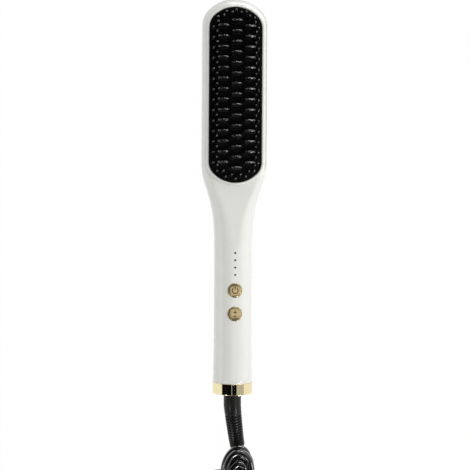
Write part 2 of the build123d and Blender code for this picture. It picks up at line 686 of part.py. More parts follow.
# Cord swivel: a socket in the shells' end, a spindle in it, and what holds and feeds them
SPINDLE_END, SPINDLE_SHOULDER = -112.5, -121.4
SOCKET_FLANGE, SOCKET_FLANGE_RADIUS = 1.5, 11.6
CLIP_TOP, CLIP_THICKNESS, CLIP_GROOVE, CLIP_RADIUS = -122.8, 0.8, 4.2, 7.2
CLIP_MOUTH = 5.0
SLIP_CORE, SLIP_RADIUS, SLIP_WIDTH = 3.0, 4.4, 2.4
SLIP_TOPS = [-116.2, -112.5]
with BuildPart() as swivel_socket:
    with BuildSketch(across(SOCKET_TOP, AXIS_HEIGHT)):
        Circle(SPIGOT_BORE)
        Circle(JOURNAL_RADIUS + RUNNING_FIT, mode=Mode.SUBTRACT)
    extrude(amount=SOCKET_TOP - SPIGOT_END)
    with BuildSketch(across(RING_TOP + WALL + SOCKET_FLANGE, AXIS_HEIGHT)):
        Circle(SOCKET_FLANGE_RADIUS)
        Circle(JOURNAL_RADIUS + RUNNING_FIT, mode=Mode.SUBTRACT)
    extrude(amount=SOCKET_FLANGE)
swivel_socket.part.label = "swivel_socket"
export_step(swivel_socket.part, "parts/swivel_socket.step")

with BuildPart() as swivel_spindle:
    with BuildSketch(across(SPINDLE_SHOULDER, AXIS_HEIGHT)):
        Circle(JOURNAL_RADIUS)
    extrude(amount=SPINDLE_SHOULDER - BOOT_START)
    with BuildSketch(across(CLIP_TOP, AXIS_HEIGHT)):
        Circle(JOURNAL_RADIUS)
        Circle(CLIP_GROOVE, mode=Mode.SUBTRACT)
    extrude(amount=CLIP_THICKNESS, mode=Mode.SUBTRACT)
    with BuildSketch(across(SPINDLE_END, AXIS_HEIGHT)):
        Circle(SLIP_CORE)
    extrude(amount=SPINDLE_END - SPINDLE_SHOULDER)
swivel_spindle.part.label = "swivel_spindle"
export_step(swivel_spindle.part, "parts/swivel_spindle.step")

with BuildPart() as slip_rings:
    for top in SLIP_TOPS:
        with BuildSketch(across(top, AXIS_HEIGHT)):
            Circle(SLIP_RADIUS)
            Circle(SLIP_CORE, mode=Mode.SUBTRACT)
        extrude(amount=SLIP_WIDTH)
slip_rings.part.label = "slip_rings"
export_step(slip_rings.part, "parts/slip_rings.step")

with BuildPart() as retaining_clip:
    with BuildSketch(across(CLIP_TOP, AXIS_HEIGHT)):
        Circle(CLIP_RADIUS)
        Circle(CLIP_GROOVE, mode=Mode.SUBTRACT)
        with Locations((0, CLIP_RADIUS)):
            Rectangle(CLIP_MOUTH, 2 * CLIP_RADIUS, mode=Mode.SUBTRACT)
    extrude(amount=CLIP_THICKNESS)
retaining_clip.part.label = "retaining_clip"
export_step(retaining_clip.part, "parts/retaining_clip.step")

SPRING_REACH, SPRING_THICKNESS, SPRING_GAP, SPRING_WIDTH = 8.6, 0.5, 0.3, 2.8
with BuildPart() as contact_springs:
    for side, top in zip((-1, 1), SLIP_TOPS):
        leg_height = AXIS_HEIGHT + side * SPRING_REACH
        leg_length = top - SOCKET_TOP
        with Locations((0, SOCKET_TOP + leg_length / 2, leg_height)):
            Box(SPRING_WIDTH, leg_length, SPRING_THICKNESS)
        finger = SPRING_REACH - SLIP_RADIUS - SPRING_GAP
        finger_height = leg_height - side * finger / 2
        with Locations((0, top - SLIP_WIDTH / 2, finger_height)):
            Box(SPRING_WIDTH, SPRING_THICKNESS, finger)
contact_springs.part.label = "contact_springs"
export_step(contact_springs.part, "parts/contact_springs.step")

# Leads that the casing holds: supply leads at the cord end, heater leads up the neck
SUPPLY_WIRE, HEATER_WIRE, TERMINAL_HEIGHT = 1.4, 1.8, 20.2
supply_routes = [
    [
        Vector(0, SLIP_TOPS[0], AXIS_HEIGHT - SPRING_REACH),
        Vector(0, -110.8, AXIS_HEIGHT - SPRING_REACH),
        Vector(-2.5, TERMINAL_END - 4.0, TERMINAL_HEIGHT),
        Vector(-2.5, TERMINAL_END, TERMINAL_HEIGHT),
    ],
    [
        Vector(0, SLIP_TOPS[1], AXIS_HEIGHT + SPRING_REACH),
        Vector(0, SLIP_TOPS[1] + 2.6, AXIS_HEIGHT + SPRING_REACH),
        Vector(2.6, TERMINAL_END - 2.4, TERMINAL_HEIGHT),
        Vector(2.6, TERMINAL_END, TERMINAL_HEIGHT),
    ],
]
heater_routes = [
    [
        Vector(side * 3.0, BOARD_HIGH, BOARD_BOTTOM + 0.8),
        Vector(side * 3.0, -24, BOARD_BOTTOM + 0.8),
        Vector(side * 5.0, -2, 13.6),
        Vector(side * 6.0, 14, STRIP_BOTTOM + 1.0),
        Vector(side * 6.0, 22, STRIP_BOTTOM + 1.0),
    ]
    for side in (-1, 1)
]
supply_leads = Compound(
    [tube(route, easy_bends(route), SUPPLY_WIRE)[0].solid() for route in supply_routes]
)
supply_leads.label = "supply_leads"
export_step(supply_leads, "parts/supply_leads.step")
heater_leads = Compound(
    [tube(route, easy_bends(route), HEATER_WIRE)[0].solid() for route in heater_routes]
)
heater_leads.label = "heater_leads"
export_step(heater_leads, "parts/heater_leads.step")

# Strain relief: a collar that runs out straight, then a slotted boot bent down to the floor
bend_run = BOOT_BEND - BOOT_TIP
bend_shift = sqrt(BOOT_SIDE**2 + (AXIS_HEIGHT - BOOT_TIP_HEIGHT) ** 2)
bend_radius = (bend_run**2 + bend_shift**2) / (2 * bend_shift)
bend_turn = asin(bend_run / bend_radius)
lean = Vector(BOOT_SIDE, 0, BOOT_TIP_HEIGHT - AXIS_HEIGHT) / bend_shift
square = lean.cross(Vector(0, -1, 0))


def boot_point(share):
    """A point on the boot's bent centre line."""
    turn = bend_turn * share
    along = Vector(0, BOOT_BEND - bend_radius * sin(turn), AXIS_HEIGHT)
    return along + lean * (bend_radius * (1 - cos(turn)))


def boot_heading(share):
    """The boot's direction there."""
    turn = bend_turn * share
    return Vector(0, -cos(turn), 0) + lean * sin(turn)


SLOT_ROWS, SLOT_WIDTH, SLOT_DEPTH = 12, 0.95, 1.15
SLOT_FIRST, SLOT_LAST = 0.1, 0.97
with BuildPart() as strain_relief:
    for share, radius in BOOT_RADII:
        with BuildSketch(Plane(origin=boot_point(share), x_dir=square, z_dir=boot_heading(share))):
            Circle(radius)
    loft()
    with BuildSketch(across(BOOT_START, AXIS_HEIGHT)):
        Circle(BOOT_RADII[0][1])
    extrude(amount=BOOT_START - BOOT_BEND)
    slots = []
    for row in range(SLOT_ROWS):
        share = SLOT_FIRST + (SLOT_LAST - SLOT_FIRST) * row / (SLOT_ROWS - 1)
        radius = BOOT_RADII[0][1] + (BOOT_RADII[-1][1] - BOOT_RADII[0][1]) * share
        origin, heading = boot_point(share), boot_heading(share)
        front = Plane(origin=origin, x_dir=square, z_dir=heading)
        for quarter in range(4):
            slots.append((front.rotated((0, 0, 45 + 90 * quarter)), radius))
    for face, radius in slots:
        with BuildSketch(face.offset(-SLOT_WIDTH / 2)):
            with Locations((radius - SLOT_DEPTH + 1.5, 0)):
                Rectangle(3.0, 12.0)
        extrude(amount=SLOT_WIDTH, mode=Mode.SUBTRACT)
strain_relief.part.label = "strain_relief"
export_step(strain_relief.part, "parts/strain_relief.step")

# Hank of cord: its own frame lies across, along and up through the waist
hank_half = (HANK_LENGTH - CORD) / 2
tilt = asin(HANK_RISE / (2 * hank_half))
hank_top = 3 * TRACK_STEP
hank_origin = (
    HANK_X,
    HANK_NEAR - CORD / 2 - hank_half * cos(tilt) + hank_top * sin(tilt),
    CORD / 2 + 0.3 + hank_half * sin(tilt),
)
hank_frame = Plane(origin=hank_origin, x_dir=(1, 0, 0), z_dir=(0, -sin(tilt), cos(tilt)))
WAIST_OUTER, WAIST_INNER = 1.5 * TRACK_STEP, 0.5 * TRACK_STEP


def is_outer(run):
    """Whether a run lies on the outer track: the loops spiral in, climb, and spiral out."""
    return run % 6 in (0, 1, 5)


def fold(run):
    """The corners of the fold after a run, and what each bend takes off its runs."""
    end = -1 if run % 2 == 0 else 1
    layer = run // 3
    tracks = [TRACK_OUTER if is_outer(step) else TRACK_INNER for step in (run, run + 1)]
    half = sum(tracks) / 2
    both_inner = not is_outer(run) and not is_outer(run + 1)
    both_outer = is_outer(run) and is_outer(run + 1)
    shift = NEAR_SHIFTS.get(layer, 0.0) if end == 1 else 0.0
    if end == 1 and layer == 0:
        shorten, crown = FIRST_SHORT, MIXED_CROWN
    elif both_outer:
        shorten, crown = 0.0, OUTER_CROWN
    elif both_inner:
        shorten, crown = INNER_SHORT + abs(shift), CORD
    else:
        shorten, crown = MIXED_SHORT, MIXED_CROWN
    shift = shift if both_outer else 0.0
    turn = radians(INNER_TURN if both_inner else FOLD_TURN)
    apex = hank_half - shorten + crown * (1 / sin(turn) - 1)
    corner = apex - half / tan(turn)
    shoulder = corner - half / sin(turn) * (SHOULDER_OUTER if both_outer else SHOULDER_INNER)
    crown_taken = crown / tan(turn)
    height = layer * TRACK_STEP
    start_side = -1 if run % 2 == 0 else 1
    middle = start_side * (tracks[0] - tracks[1]) / 2
    spread = [track + SHOULDER_SPREAD for track in tracks]
    points = [
        Vector(start_side * spread[0], end * shoulder, height),
        Vector(start_side * tracks[0], end * corner, height),
        Vector(middle + shift, end * apex, height),
        Vector(-start_side * tracks[1], end * corner, height),
        Vector(-start_side * spread[1], end * shoulder, height),
    ]
    ease = 0.7 if both_outer else 0.985
    taken = [ease * ((points[2] - point).length - crown_taken) for point in (points[1], points[3])]
    eased = 0.9 * ((points[1] - points[0]).length - taken[0])
    return points, [min(eased, 6.0), taken[0], crown_taken, taken[1], min(eased, 6.0)]


def waist(run):
    """The points between two folds: drawn in at the waist, and climbing on every third run."""
    side = -1 if run % 2 == 0 else 1
    track = TRACK_OUTER if is_outer(run) else TRACK_INNER
    drawn = WAIST_OUTER if is_outer(run) else WAIST_INNER
    low, high = max(0, (run + 2) // 3 - 1), min(3, run // 3)
    height = (low + high) / 2 * TRACK_STEP
    points, taken = [Vector(side * drawn, 0, height)], [WAIST_BEND]
    if low != high:
        slope = (track - drawn) * CLIMB_REACH / (hank_half - 8)
        before = Vector(side * (drawn + slope), -side * CLIMB_REACH, low * TRACK_STEP)
        after = Vector(side * (drawn + slope), side * CLIMB_REACH, high * TRACK_STEP)
        points, taken = [before, *points, after], [CLIMB_BEND, WAIST_BEND, CLIMB_BEND]
    return points, taken


hank_local, hank_taken = [], []
for run in range(HANK_RUNS):
    if run:
        points, taken = waist(run)
        hank_local += points
        hank_taken += taken
    if run < HANK_RUNS - 1:
        points, taken = fold(run)
        skipped = 0 if run else 1
        hank_local += points[skipped:]
        hank_taken += taken[skipped:]
hank_local.insert(0, Vector(-TRACK_OUTER, HANK_START, 0))
hank_local.append(Vector(-TRACK_OUTER - 0.9, HANK_EXIT, hank_top))
hank_route = [hank_frame.from_local_coords(point) for point in hank_local]
hank_radii = bend_radii(hank_route, hank_taken)
cord_hank, hank_line = tube(hank_route, hank_radii, CORD, CORD_SIDES)
cord_hank.label = "cord_hank"
export_step(cord_hank, "parts/cord_hank.step")
cord_report("hank", cord_hank, hank_line, hank_radii)

count = int(hank_line.length / 2.5)
places = [hank_line @ (step / count) for step in range(count + 1)]
gap = min(
    (places[low] - places[high]).length - CORD
    for low in range(count + 1)
    for high in range(low + 6, count + 1)
)
print("hank least gap to itself", round(gap, 2))


# Lead from the boot to the hank: down to the floor, out to the left, then along the hank
boot_end = boot_point(1.0)
boot_exit = boot_heading(1.0)
hank_entry = hank_route[0]
entry_heading = (hank_route[1] - hank_route[0]).normalized()
FLOOR_RUN = CORD / 2 + 0.15
lead_route = [
    boot_end,
    boot_end + boot_exit * 7.6,
    Vector(4.4, -198.6, FLOOR_RUN),
    Vector(-5.0, -201.8, FLOOR_RUN),
    Vector(-13.4, -202.0, FLOOR_RUN),
    Vector(-17.2, -211.0, FLOOR_RUN),
    Vector(-17.8, -226.0, FLOOR_RUN),
    Vector(-15.8, -243.0, FLOOR_RUN + 0.2),
    Vector(-10.2, -258.0, 3.6),
    hank_entry - entry_heading * 10.0,
    hank_entry,
]
lead_radii = easy_bends(lead_route)
cord_lead, lead_line = tube(lead_route, lead_radii, CORD, CORD_SIDES)
cord_lead.label = "cord_lead"
export_step(cord_lead, "parts/cord_lead.step")
cord_report("lead", cord_lead, lead_line, lead_radii)

# Tail from the hank to the plug
hank_exit = hank_route[-1]
exit_heading = (hank_route[-1] - hank_route[-2]).normalized()
PLUG_HEIGHT, PLUG_X, PLUG_START = 6.9, -5.0, hank_exit.Y - 49.0
tail_route = [
    hank_exit,
    hank_exit + exit_heading * 11.0,
    Vector(-6.6, hank_exit.Y - 25.0, 10.6),
    Vector(PLUG_X, PLUG_START + 10.0, PLUG_HEIGHT),
    Vector(PLUG_X, PLUG_START, PLUG_HEIGHT),
]
tail_radii = easy_bends(tail_route)
cord_tail, tail_line = tube(tail_route, tail_radii, CORD, CORD_SIDES)
cord_tail.label = "cord_tail"
export_step(cord_tail, "parts/cord_tail.step")
cord_report("tail", cord_tail, tail_line, tail_radii)
cord_length = lead_line.length + hank_line.length + tail_line.length
print("cord in all", round(cord_length))

# Tie round the waist
TIE_GAP, TIE_THICKNESS, TIE_WIDTH = 0.3, 0.9, 7.0
tie_width = 2 * (WAIST_OUTER + CORD / 2 + TIE_GAP)
tie_height = hank_top + CORD + 2 * TIE_GAP
tie_plane = Plane(
    origin=hank_frame.from_local_coords(Vector(0, -TIE_WIDTH / 2, hank_top / 2)),
    x_dir=(1, 0, 0),
    z_dir=hank_frame.y_dir,
)
with BuildPart() as cord_tie:
    with BuildSketch(tie_plane):
        RectangleRounded(tie_width + 2 * TIE_THICKNESS, tie_height + 2 * TIE_THICKNESS, 3.0)
        RectangleRounded(tie_width, tie_height, 2.2, mode=Mode.SUBTRACT)
    extrude(amount=TIE_WIDTH)
cord_tie.part.label = "cord_tie"
export_step(cord_tie.part, "parts/cord_tie.step")

# Flat two-pin plug, lying on the floor with its pins away from the brush
PLUG_SECTIONS = [(0, 8.0, 8.0, 3.6), (13, 9.5, 9.5, 4.0), (17, 17.0, 11.0, 4.0)]
PLUG_SECTIONS += [(27, 26.0, 13.0, 5.0), (36, 33.0, 13.7, 5.5), (46, 35.0, 13.7, 5.5)]
with BuildPart() as plug_body:
    for along, width, height, corner in PLUG_SECTIONS:
        plug_plane = Plane(
            origin=(PLUG_X, PLUG_START - along, PLUG_HEIGHT),
            x_dir=(1, 0, 0),
            z_dir=(0, -1, 0),
        )
        with BuildSketch(plug_plane):
            RectangleRounded(width, height, corner)
    loft(ruled=True)
plug_body.part.label = "plug_body"
export_step(plug_body.part, "parts/plug_body.step")

PLUG_FACE = PLUG_START - PLUG_SECTIONS[-1][0]
PIN_SPACING, PIN_RADIUS, PIN_LENGTH = 18.6, 2.0, 19.0
with BuildPart() as plug_pins:
    with BuildSketch(across(PLUG_FACE, PLUG_HEIGHT)):
        with Locations((PLUG_X - PIN_SPACING / 2, 0), (PLUG_X + PIN_SPACING / 2, 0)):
            Circle(PIN_RADIUS)
    extrude(amount=PIN_LENGTH)
    tips = plug_pins.faces().sort_by(Axis.Y)[:2]
    fillet(tips.edges(), 1.2)
plug_pins.part.label = "plug_pins"
export_step(plug_pins.part, "parts/plug_pins.step")
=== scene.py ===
# %% [markdown]
# # A corded hair straightening brush
# The brush lies on its back on a white table, seen from above: a pearl white casing, a black comb
# of heated fins inside two rings of guard pins, two gold buttons, a gold end ring, and a black cord
# that is folded into a hank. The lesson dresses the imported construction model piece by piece.
# The model is loaded first, so that every new piece can be drawn where its solid already lies.

import json
from math import acos, asin, atan2, cos, pi, radians, sin, sqrt, tan

import bmesh
import bpy
from mathutils import Matrix, Vector


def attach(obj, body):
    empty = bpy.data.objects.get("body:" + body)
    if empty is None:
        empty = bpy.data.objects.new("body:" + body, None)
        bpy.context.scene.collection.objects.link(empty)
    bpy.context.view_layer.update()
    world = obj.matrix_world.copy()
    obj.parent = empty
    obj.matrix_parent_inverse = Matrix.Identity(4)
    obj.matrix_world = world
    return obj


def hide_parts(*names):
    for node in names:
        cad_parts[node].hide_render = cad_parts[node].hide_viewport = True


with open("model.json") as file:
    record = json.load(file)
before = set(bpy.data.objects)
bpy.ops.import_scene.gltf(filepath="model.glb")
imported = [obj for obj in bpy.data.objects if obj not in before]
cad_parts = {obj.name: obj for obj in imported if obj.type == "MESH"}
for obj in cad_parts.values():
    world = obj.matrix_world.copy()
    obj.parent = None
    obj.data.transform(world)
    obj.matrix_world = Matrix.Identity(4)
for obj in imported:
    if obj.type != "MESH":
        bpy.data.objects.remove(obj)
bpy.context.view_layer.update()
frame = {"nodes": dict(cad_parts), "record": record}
nodes = frame["nodes"]
scene = bpy.context.scene
scene.view_settings.view_transform = "Standard"
print("loaded", len(nodes), "nodes")

# %% [markdown]
# Shapes are drawn in millimetres, because that is how a maker reads a brush, and each one is scaled
# to metres once, when it is finished. Finishing also closes doubled vertices, turns the faces
# outwards and smooths the shading up to an edge angle. One helper does it, so that no piece is left
# half done, and the piece's own object stays at the origin with its place in its mesh. The finishes
# that it gives are made further on, one for each slot of the model's materials.

# %% Finish a piece
MM = 0.001
X_AXIS, Y_AXIS, Z_AXIS = Vector((1, 0, 0)), Vector((0, 1, 0)), Vector((0, 0, 1))


def verts_of(geometry):
    """The vertices among the things that an operator made."""
    return [item for item in geometry if isinstance(item, bmesh.types.BMVert)]


def clean(bm):
    """Close doubled vertices and turn the faces outwards."""
    bmesh.ops.remove_doubles(bm, verts=bm.verts[:], dist=0.0005)
    bmesh.ops.recalc_face_normals(bm, faces=bm.faces[:])


def to_object(bm, name, finishes=()):
    """Put a drawn shape into the scene as an object, with its finishes."""
    mesh = bpy.data.meshes.new(name)
    bm.to_mesh(mesh)
    bm.free()
    for finish in finishes:
        mesh.materials.append(finish)
    made = bpy.data.objects.new(name, mesh)
    scene.collection.objects.link(made)
    return made


def finish_piece(bm, name, body, slot, replaced, edge_angle=35, finishes=()):
    """Scale a shape to metres, smooth it and let it ride on a body, in its slot's own finish or others."""
    clean(bm)
    bmesh.ops.scale(bm, vec=(MM, MM, MM), verts=bm.verts[:])
    piece = to_object(bm, name, finishes or [SLOT_FINISHES[slot]])
    piece.data.shade_smooth()
    piece.data.set_sharp_from_angle(angle=radians(edge_angle))
    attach(piece, body)
    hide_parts(*replaced)
    print(name, len(piece.data.polygons), "faces")


# %% [markdown]
# Three ways of making a shape come back all through the lesson. A row of points carried along is
# how a casing, a boot or a plug is lofted: a circle of vertices is extruded row by row, and each new
# row is moved into place. A profile spun about an axis makes rings and buttons. A shape repeated at
# a list of places makes fins and pins.

# %% Loft, spin and repeat
def loft_rows(rows, cap_high=True, join_ends=False):
    """Carry a ring of vertices through rows of points, one extruded band for each row."""
    bm = bmesh.new()
    place = bm.verts.layers.int.new("place")
    level = bm.verts.layers.int.new("level")
    verts = bmesh.ops.create_circle(bm, segments=len(rows[0]), radius=1.0)["verts"]
    for index, vert in enumerate(verts):
        vert[place] = index
        vert.co = rows[0][index]
    first = edges = bm.edges[:]
    for height, row in enumerate(rows[1:], start=1):
        made = set(verts_of(bmesh.ops.extrude_edge_only(bm, edges=edges)["geom"]))
        for vert in made:
            vert[level] = height
            vert.co = row[vert[place]]
        edges = list({edge for vert in made for edge in vert.link_edges if set(edge.verts) <= made})
    if join_ends:
        bmesh.ops.bridge_loops(bm, edges=first + edges)
        return bm
    bmesh.ops.contextual_create(bm, geom=first)
    if cap_high:
        bmesh.ops.contextual_create(bm, geom=edges)
    return bm


def lathe(profile, centre, axis, steps=96, closed=False):
    """Spin a profile of points once round an axis."""
    bm = bmesh.new()
    verts = [bm.verts.new(point) for point in profile]
    for one, other in zip(verts, verts[1:]):
        bm.edges.new((one, other))
    if closed:
        bm.edges.new((verts[-1], verts[0]))
    drawn = bm.verts[:] + bm.edges[:]
    bmesh.ops.spin(bm, geom=drawn, cent=centre, axis=axis, angle=2 * pi, steps=steps, use_merge=True)
    return bm


def repeat(bm, places):
    """Copy a shape to each place, and take the first one away."""
    first = bm.verts[:] + bm.edges[:] + bm.faces[:]
    for place in places:
        copied = bmesh.ops.duplicate(bm, geom=first)["geom"]
        bmesh.ops.translate(bm, vec=Vector(place), verts=verts_of(copied))
    bmesh.ops.delete(bm, geom=verts_of(first), context="VERTS")
    return bm


def join(bm, other):
    """Add another shape to this one."""
    carried = bpy.data.meshes.new("carried")
    other.to_mesh(carried)
    other.free()
    bm.from_mesh(carried)
    bpy.data.meshes.remove(carried)
    return bm


# %% [markdown]
# The camera looks down on the brush from about 0.62 m, six degrees from the left, as the fins and
# pins show by how far they lean over the comb. It is turned by a third of a degree, because the
# brush leans by that much in the picture.

# %% Camera
VIEW_DISTANCE = 0.624
VIEW_LENS = 66.3
VIEW_FROM_LEFT = radians(6.4)
VIEW_ROLL = radians(0.33)
VIEW_TARGET = Vector((0.0013, -0.0278, 0.014))

camera_data = bpy.data.cameras.new("camera")
camera_data.lens = VIEW_LENS
camera_data.sensor_width = 36
camera_data.clip_start = 0.05
camera = bpy.data.objects.new("camera", camera_data)
back_to_camera = Vector((-sin(VIEW_FROM_LEFT), 0, cos(VIEW_FROM_LEFT)))
camera_right = Y_AXIS.cross(back_to_camera).normalized()
turned = Matrix((camera_right, Y_AXIS, back_to_camera)).transposed()
camera.matrix_world = (
    Matrix.Translation(VIEW_TARGET + back_to_camera * VIEW_DISTANCE)
    @ turned.to_4x4()
    @ Matrix.Rotation(VIEW_ROLL, 4, "Z")
)
scene.collection.objects.link(camera)
scene.camera = camera
print("camera at", [round(value, 3) for value in camera.location])

# %% [markdown]
# The cord is the longest piece, and it decides how much of the scene the camera has to leave out.
# It leaves the boot, drops to the table, loops out to the left and goes back under the hank, which
# is 1.5 m of cord folded in four layers and drawn in at the waist by a tie. Its points are the
# route of the construction model, and a smooth NURBS curve runs through them as the sleeve would.
# The near folds are moved a little, as the picture shows them: their left shoulders fall
# away by a few millimetres, and one of them lies five millimetres further back than the rest. The
# boot's line bows to the right by less than a millimetre.

# %% Cord route
CORD = 4.4
AXIS_HEIGHT = 14.4
BOOT_START, BOOT_BEND, BOOT_TIP = -138.9, -150.0, -181.0
BOOT_SIDE, BOOT_TIP_HEIGHT, BOOT_BOW = 4.8, 6.2, 0.8

bend_run = BOOT_BEND - BOOT_TIP
bend_shift = sqrt(BOOT_SIDE**2 + (AXIS_HEIGHT - BOOT_TIP_HEIGHT) ** 2)
bend_radius = (bend_run**2 + bend_shift**2) / (2 * bend_shift)
bend_turn = asin(bend_run / bend_radius)
lean = Vector((BOOT_SIDE, 0, BOOT_TIP_HEIGHT - AXIS_HEIGHT)) / bend_shift


def boot_point(share):
    """A point on the boot's bent centre line, which bows a little to the right halfway."""
    turn = bend_turn * share
    along_axis = Vector((BOOT_BOW * sin(pi * share), BOOT_BEND - bend_radius * sin(turn), AXIS_HEIGHT))
    return along_axis + lean * (bend_radius * (1 - cos(turn)))


def boot_heading(share):
    """The boot's direction there."""
    turn = bend_turn * share
    return Vector((0, -cos(turn), 0)) + lean * sin(turn)


HANK_LENGTH, HANK_RISE, HANK_X = 132.0, 9.65, 3.1
HANK_NEAR, HANK_LIFT = -178.4, 0.3
TRACK_STEP = 5.0
TRACK_OUTER, TRACK_INNER = 9.6, 4.6
HANK_RUNS = 13
HANK_START, HANK_EXIT = -44.0, -69.8
CLIMB_REACH, CLIMB_SHORT = 26.0, 8.0
FOLD_TURN, INNER_TURN = 52.0, 60.0
SHOULDER_OUTER, SHOULDER_INNER, SHOULDER_SPREAD = 1.6, 1.0, 0.15
OUTER_CROWN, MIXED_CROWN = 5.4, 4.8
INNER_SHORT, MIXED_SHORT, FIRST_SHORT = 8.2, 2.6, 11.0
NEAR_SHIFTS = {1: 1.3, 3: -0.6}
HAND_MOVES = {3: (-0.3, -5.0), 9: (0.0, 0.6)}
LEFT_DROP, LEFT_DRAW, APEX_DROP = 2.5, 0.5, 0.8
WAIST_OUTER, WAIST_INNER = 1.5 * TRACK_STEP, 0.5 * TRACK_STEP

hank_half = (HANK_LENGTH - CORD) / 2
tilt = asin(HANK_RISE / (2 * hank_half))
hank_top = 3 * TRACK_STEP
hank_y = HANK_NEAR - CORD / 2 - hank_half * cos(tilt) + hank_top * sin(tilt)
hank_origin = Vector((HANK_X, hank_y, CORD / 2 + HANK_LIFT + hank_half * sin(tilt)))


def in_hank(across, along_hank, up):
    """A point of the hank's own frame, set down on the table."""
    ahead = Vector((0, cos(tilt), sin(tilt)))
    above = Vector((0, -sin(tilt), cos(tilt)))
    return hank_origin + X_AXIS * across + ahead * along_hank + above * up


def is_outer(run):
    """Whether a run lies on the outer track: the loops spiral in, climb, and spiral out."""
    return run % 6 in (0, 1, 5)


def fold(run):
    """The corners of the fold after a run, with a shoulder on each side of it."""
    end = -1 if run % 2 == 0 else 1
    layer = run // 3
    outer = [is_outer(step) for step in (run, run + 1)]
    tracks = [TRACK_OUTER if out else TRACK_INNER for out in outer]
    half = sum(tracks) / 2
    both_outer, both_inner = all(outer), not any(outer)
    shift = NEAR_SHIFTS.get(layer, 0.0) if end == 1 else 0.0
    if end == 1 and layer == 0:
        shorten, crown = FIRST_SHORT, MIXED_CROWN
    elif both_outer:
        shorten, crown = 0.0, OUTER_CROWN
    elif both_inner:
        shorten, crown = INNER_SHORT + abs(shift), CORD
    else:
        shorten, crown = MIXED_SHORT, MIXED_CROWN
    shift = shift if both_outer else 0.0
    turn = radians(INNER_TURN if both_inner else FOLD_TURN)
    apex = hank_half - shorten + crown * (1 / sin(turn) - 1)
    corner = apex - half / tan(turn)
    shoulder = corner - half / sin(turn) * (SHOULDER_OUTER if both_outer else SHOULDER_INNER)
    height = layer * TRACK_STEP
    middle = end * (tracks[0] - tracks[1]) / 2
    spread = [track + SHOULDER_SPREAD for track in tracks]
    across, further = HAND_MOVES.get(run, (0.0, 0.0))
    drop, draw = (LEFT_DROP, LEFT_DRAW) if end == 1 else (0.0, 0.0)
    peak = apex + further - (APEX_DROP if end == 1 and both_inner else 0.0)
    corner, shoulder = corner + further, shoulder + further
    return [
        in_hank(end * spread[0], end * shoulder, height),
        in_hank(end * tracks[0], end * corner, height),
        in_hank(middle + shift + across, end * peak, height),
        in_hank(-end * (tracks[1] - draw), end * corner - drop, height),
        in_hank(-end * spread[1], end * shoulder - drop, height),
    ]


def waist(run):
    """The points between two folds: drawn in at the waist, and climbing on every third run."""
    side = -1 if run % 2 == 0 else 1
    track = TRACK_OUTER if is_outer(run) else TRACK_INNER
    drawn = WAIST_OUTER if is_outer(run) else WAIST_INNER
    low, high = max(0, (run + 2) // 3 - 1), min(3, run // 3)
    points = [in_hank(side * drawn, 0, (low + high) / 2 * TRACK_STEP)]
    if low != high:
        wide = side * (drawn + (track - drawn) * CLIMB_REACH / (hank_half - CLIMB_SHORT))
        points.insert(0, in_hank(wide, -side * CLIMB_REACH, low * TRACK_STEP))
        points.append(in_hank(wide, side * CLIMB_REACH, high * TRACK_STEP))
    return points


hank_route = [in_hank(-TRACK_OUTER, HANK_START, 0)]
for run in range(HANK_RUNS):
    if run:
        hank_route += waist(run)
    if run < HANK_RUNS - 1:
        hank_route += fold(run)[0 if run else 1:]
hank_route.append(in_hank(-TRACK_OUTER - 0.9, HANK_EXIT, hank_top))

boot_end = boot_point(1.0)
boot_exit = boot_heading(1.0)
entry_heading = (hank_route[1] - hank_route[0]).normalized()
FLOOR_RUN = CORD / 2 + 0.15
lead_route = [
    boot_point(0.85),
    boot_end,
    boot_end + boot_exit * 7.6,
    Vector((6.4, -199.4, FLOOR_RUN)),
    Vector((-5.0, -201.8, FLOOR_RUN)),
    Vector((-13.4, -202.0, FLOOR_RUN)),
    Vector((-17.2, -211.0, FLOOR_RUN)),
    Vector((-17.8, -226.0, FLOOR_RUN)),
    Vector((-15.8, -243.0, FLOOR_RUN + 0.2)),
    Vector((-10.2, -258.0, 3.6)),
    hank_route[0] - entry_heading * 10.0,
]
exit_heading = (hank_route[-1] - hank_route[-2]).normalized()
hank_exit = hank_route[-1]
PLUG_HEIGHT, PLUG_X, PLUG_START = 6.9, -5.0, hank_exit.y - 49.0
tail_route = [
    hank_exit + exit_heading * 11.0,
    Vector((-6.6, hank_exit.y - 25.0, 10.6)),
    Vector((PLUG_X, PLUG_START + 10.0, PLUG_HEIGHT)),
    Vector((PLUG_X, PLUG_START - 3.0, PLUG_HEIGHT)),
]
cord_route = [point * MM for point in lead_route + hank_route + tail_route]
print("cord route has", len(cord_route), "points")

# %% [markdown]
# The stage is a white table under soft daylight. A camera ray that meets the table sees mostly plain
# white, with only a trace of the real shading left in it, so that the brush keeps a faint shadow
# and the background stays as pale as paper. The world is white to the eye and to polished metal,
# and it lights plain surfaces less, so that the white casing keeps its form.
#
# The lamps come in two kinds. A large key from the right and two weak fills light the plain
# surfaces and shape the casing. The spots and strips show only in glossy surfaces: they draw the
# crests of the fins, the tips of the pins, and the sheen along the boot and the cord.

# %% Colours and shader nodes
def linear(code):
    """An sRGB hex colour as linear red, green, blue and alpha."""
    parts = [int(code[index:index + 2], 16) / 255 for index in (1, 3, 5)]
    return [part / 12.92 if part <= 0.04045 else ((part + 0.055) / 1.055) ** 2.4 for part in parts] + [1.0]


def add_node(tree, kind, inputs=(), **settings):
    """Add a shader node, set its fields, and give each input a value or a link."""
    node = tree.nodes.new(kind)
    for name, value in settings.items():
        setattr(node, name, value)
    for name, value in dict(inputs).items():
        if isinstance(value, bpy.types.NodeSocket):
            tree.links.new(value, node.inputs[name])
        else:
            node.inputs[name].default_value = value
    return node


def fresh_tree(name):
    """A new material with an empty node tree and its output."""
    material = bpy.data.materials.new(name)
    material.use_nodes = True
    material.node_tree.nodes.clear()
    return material, material.node_tree


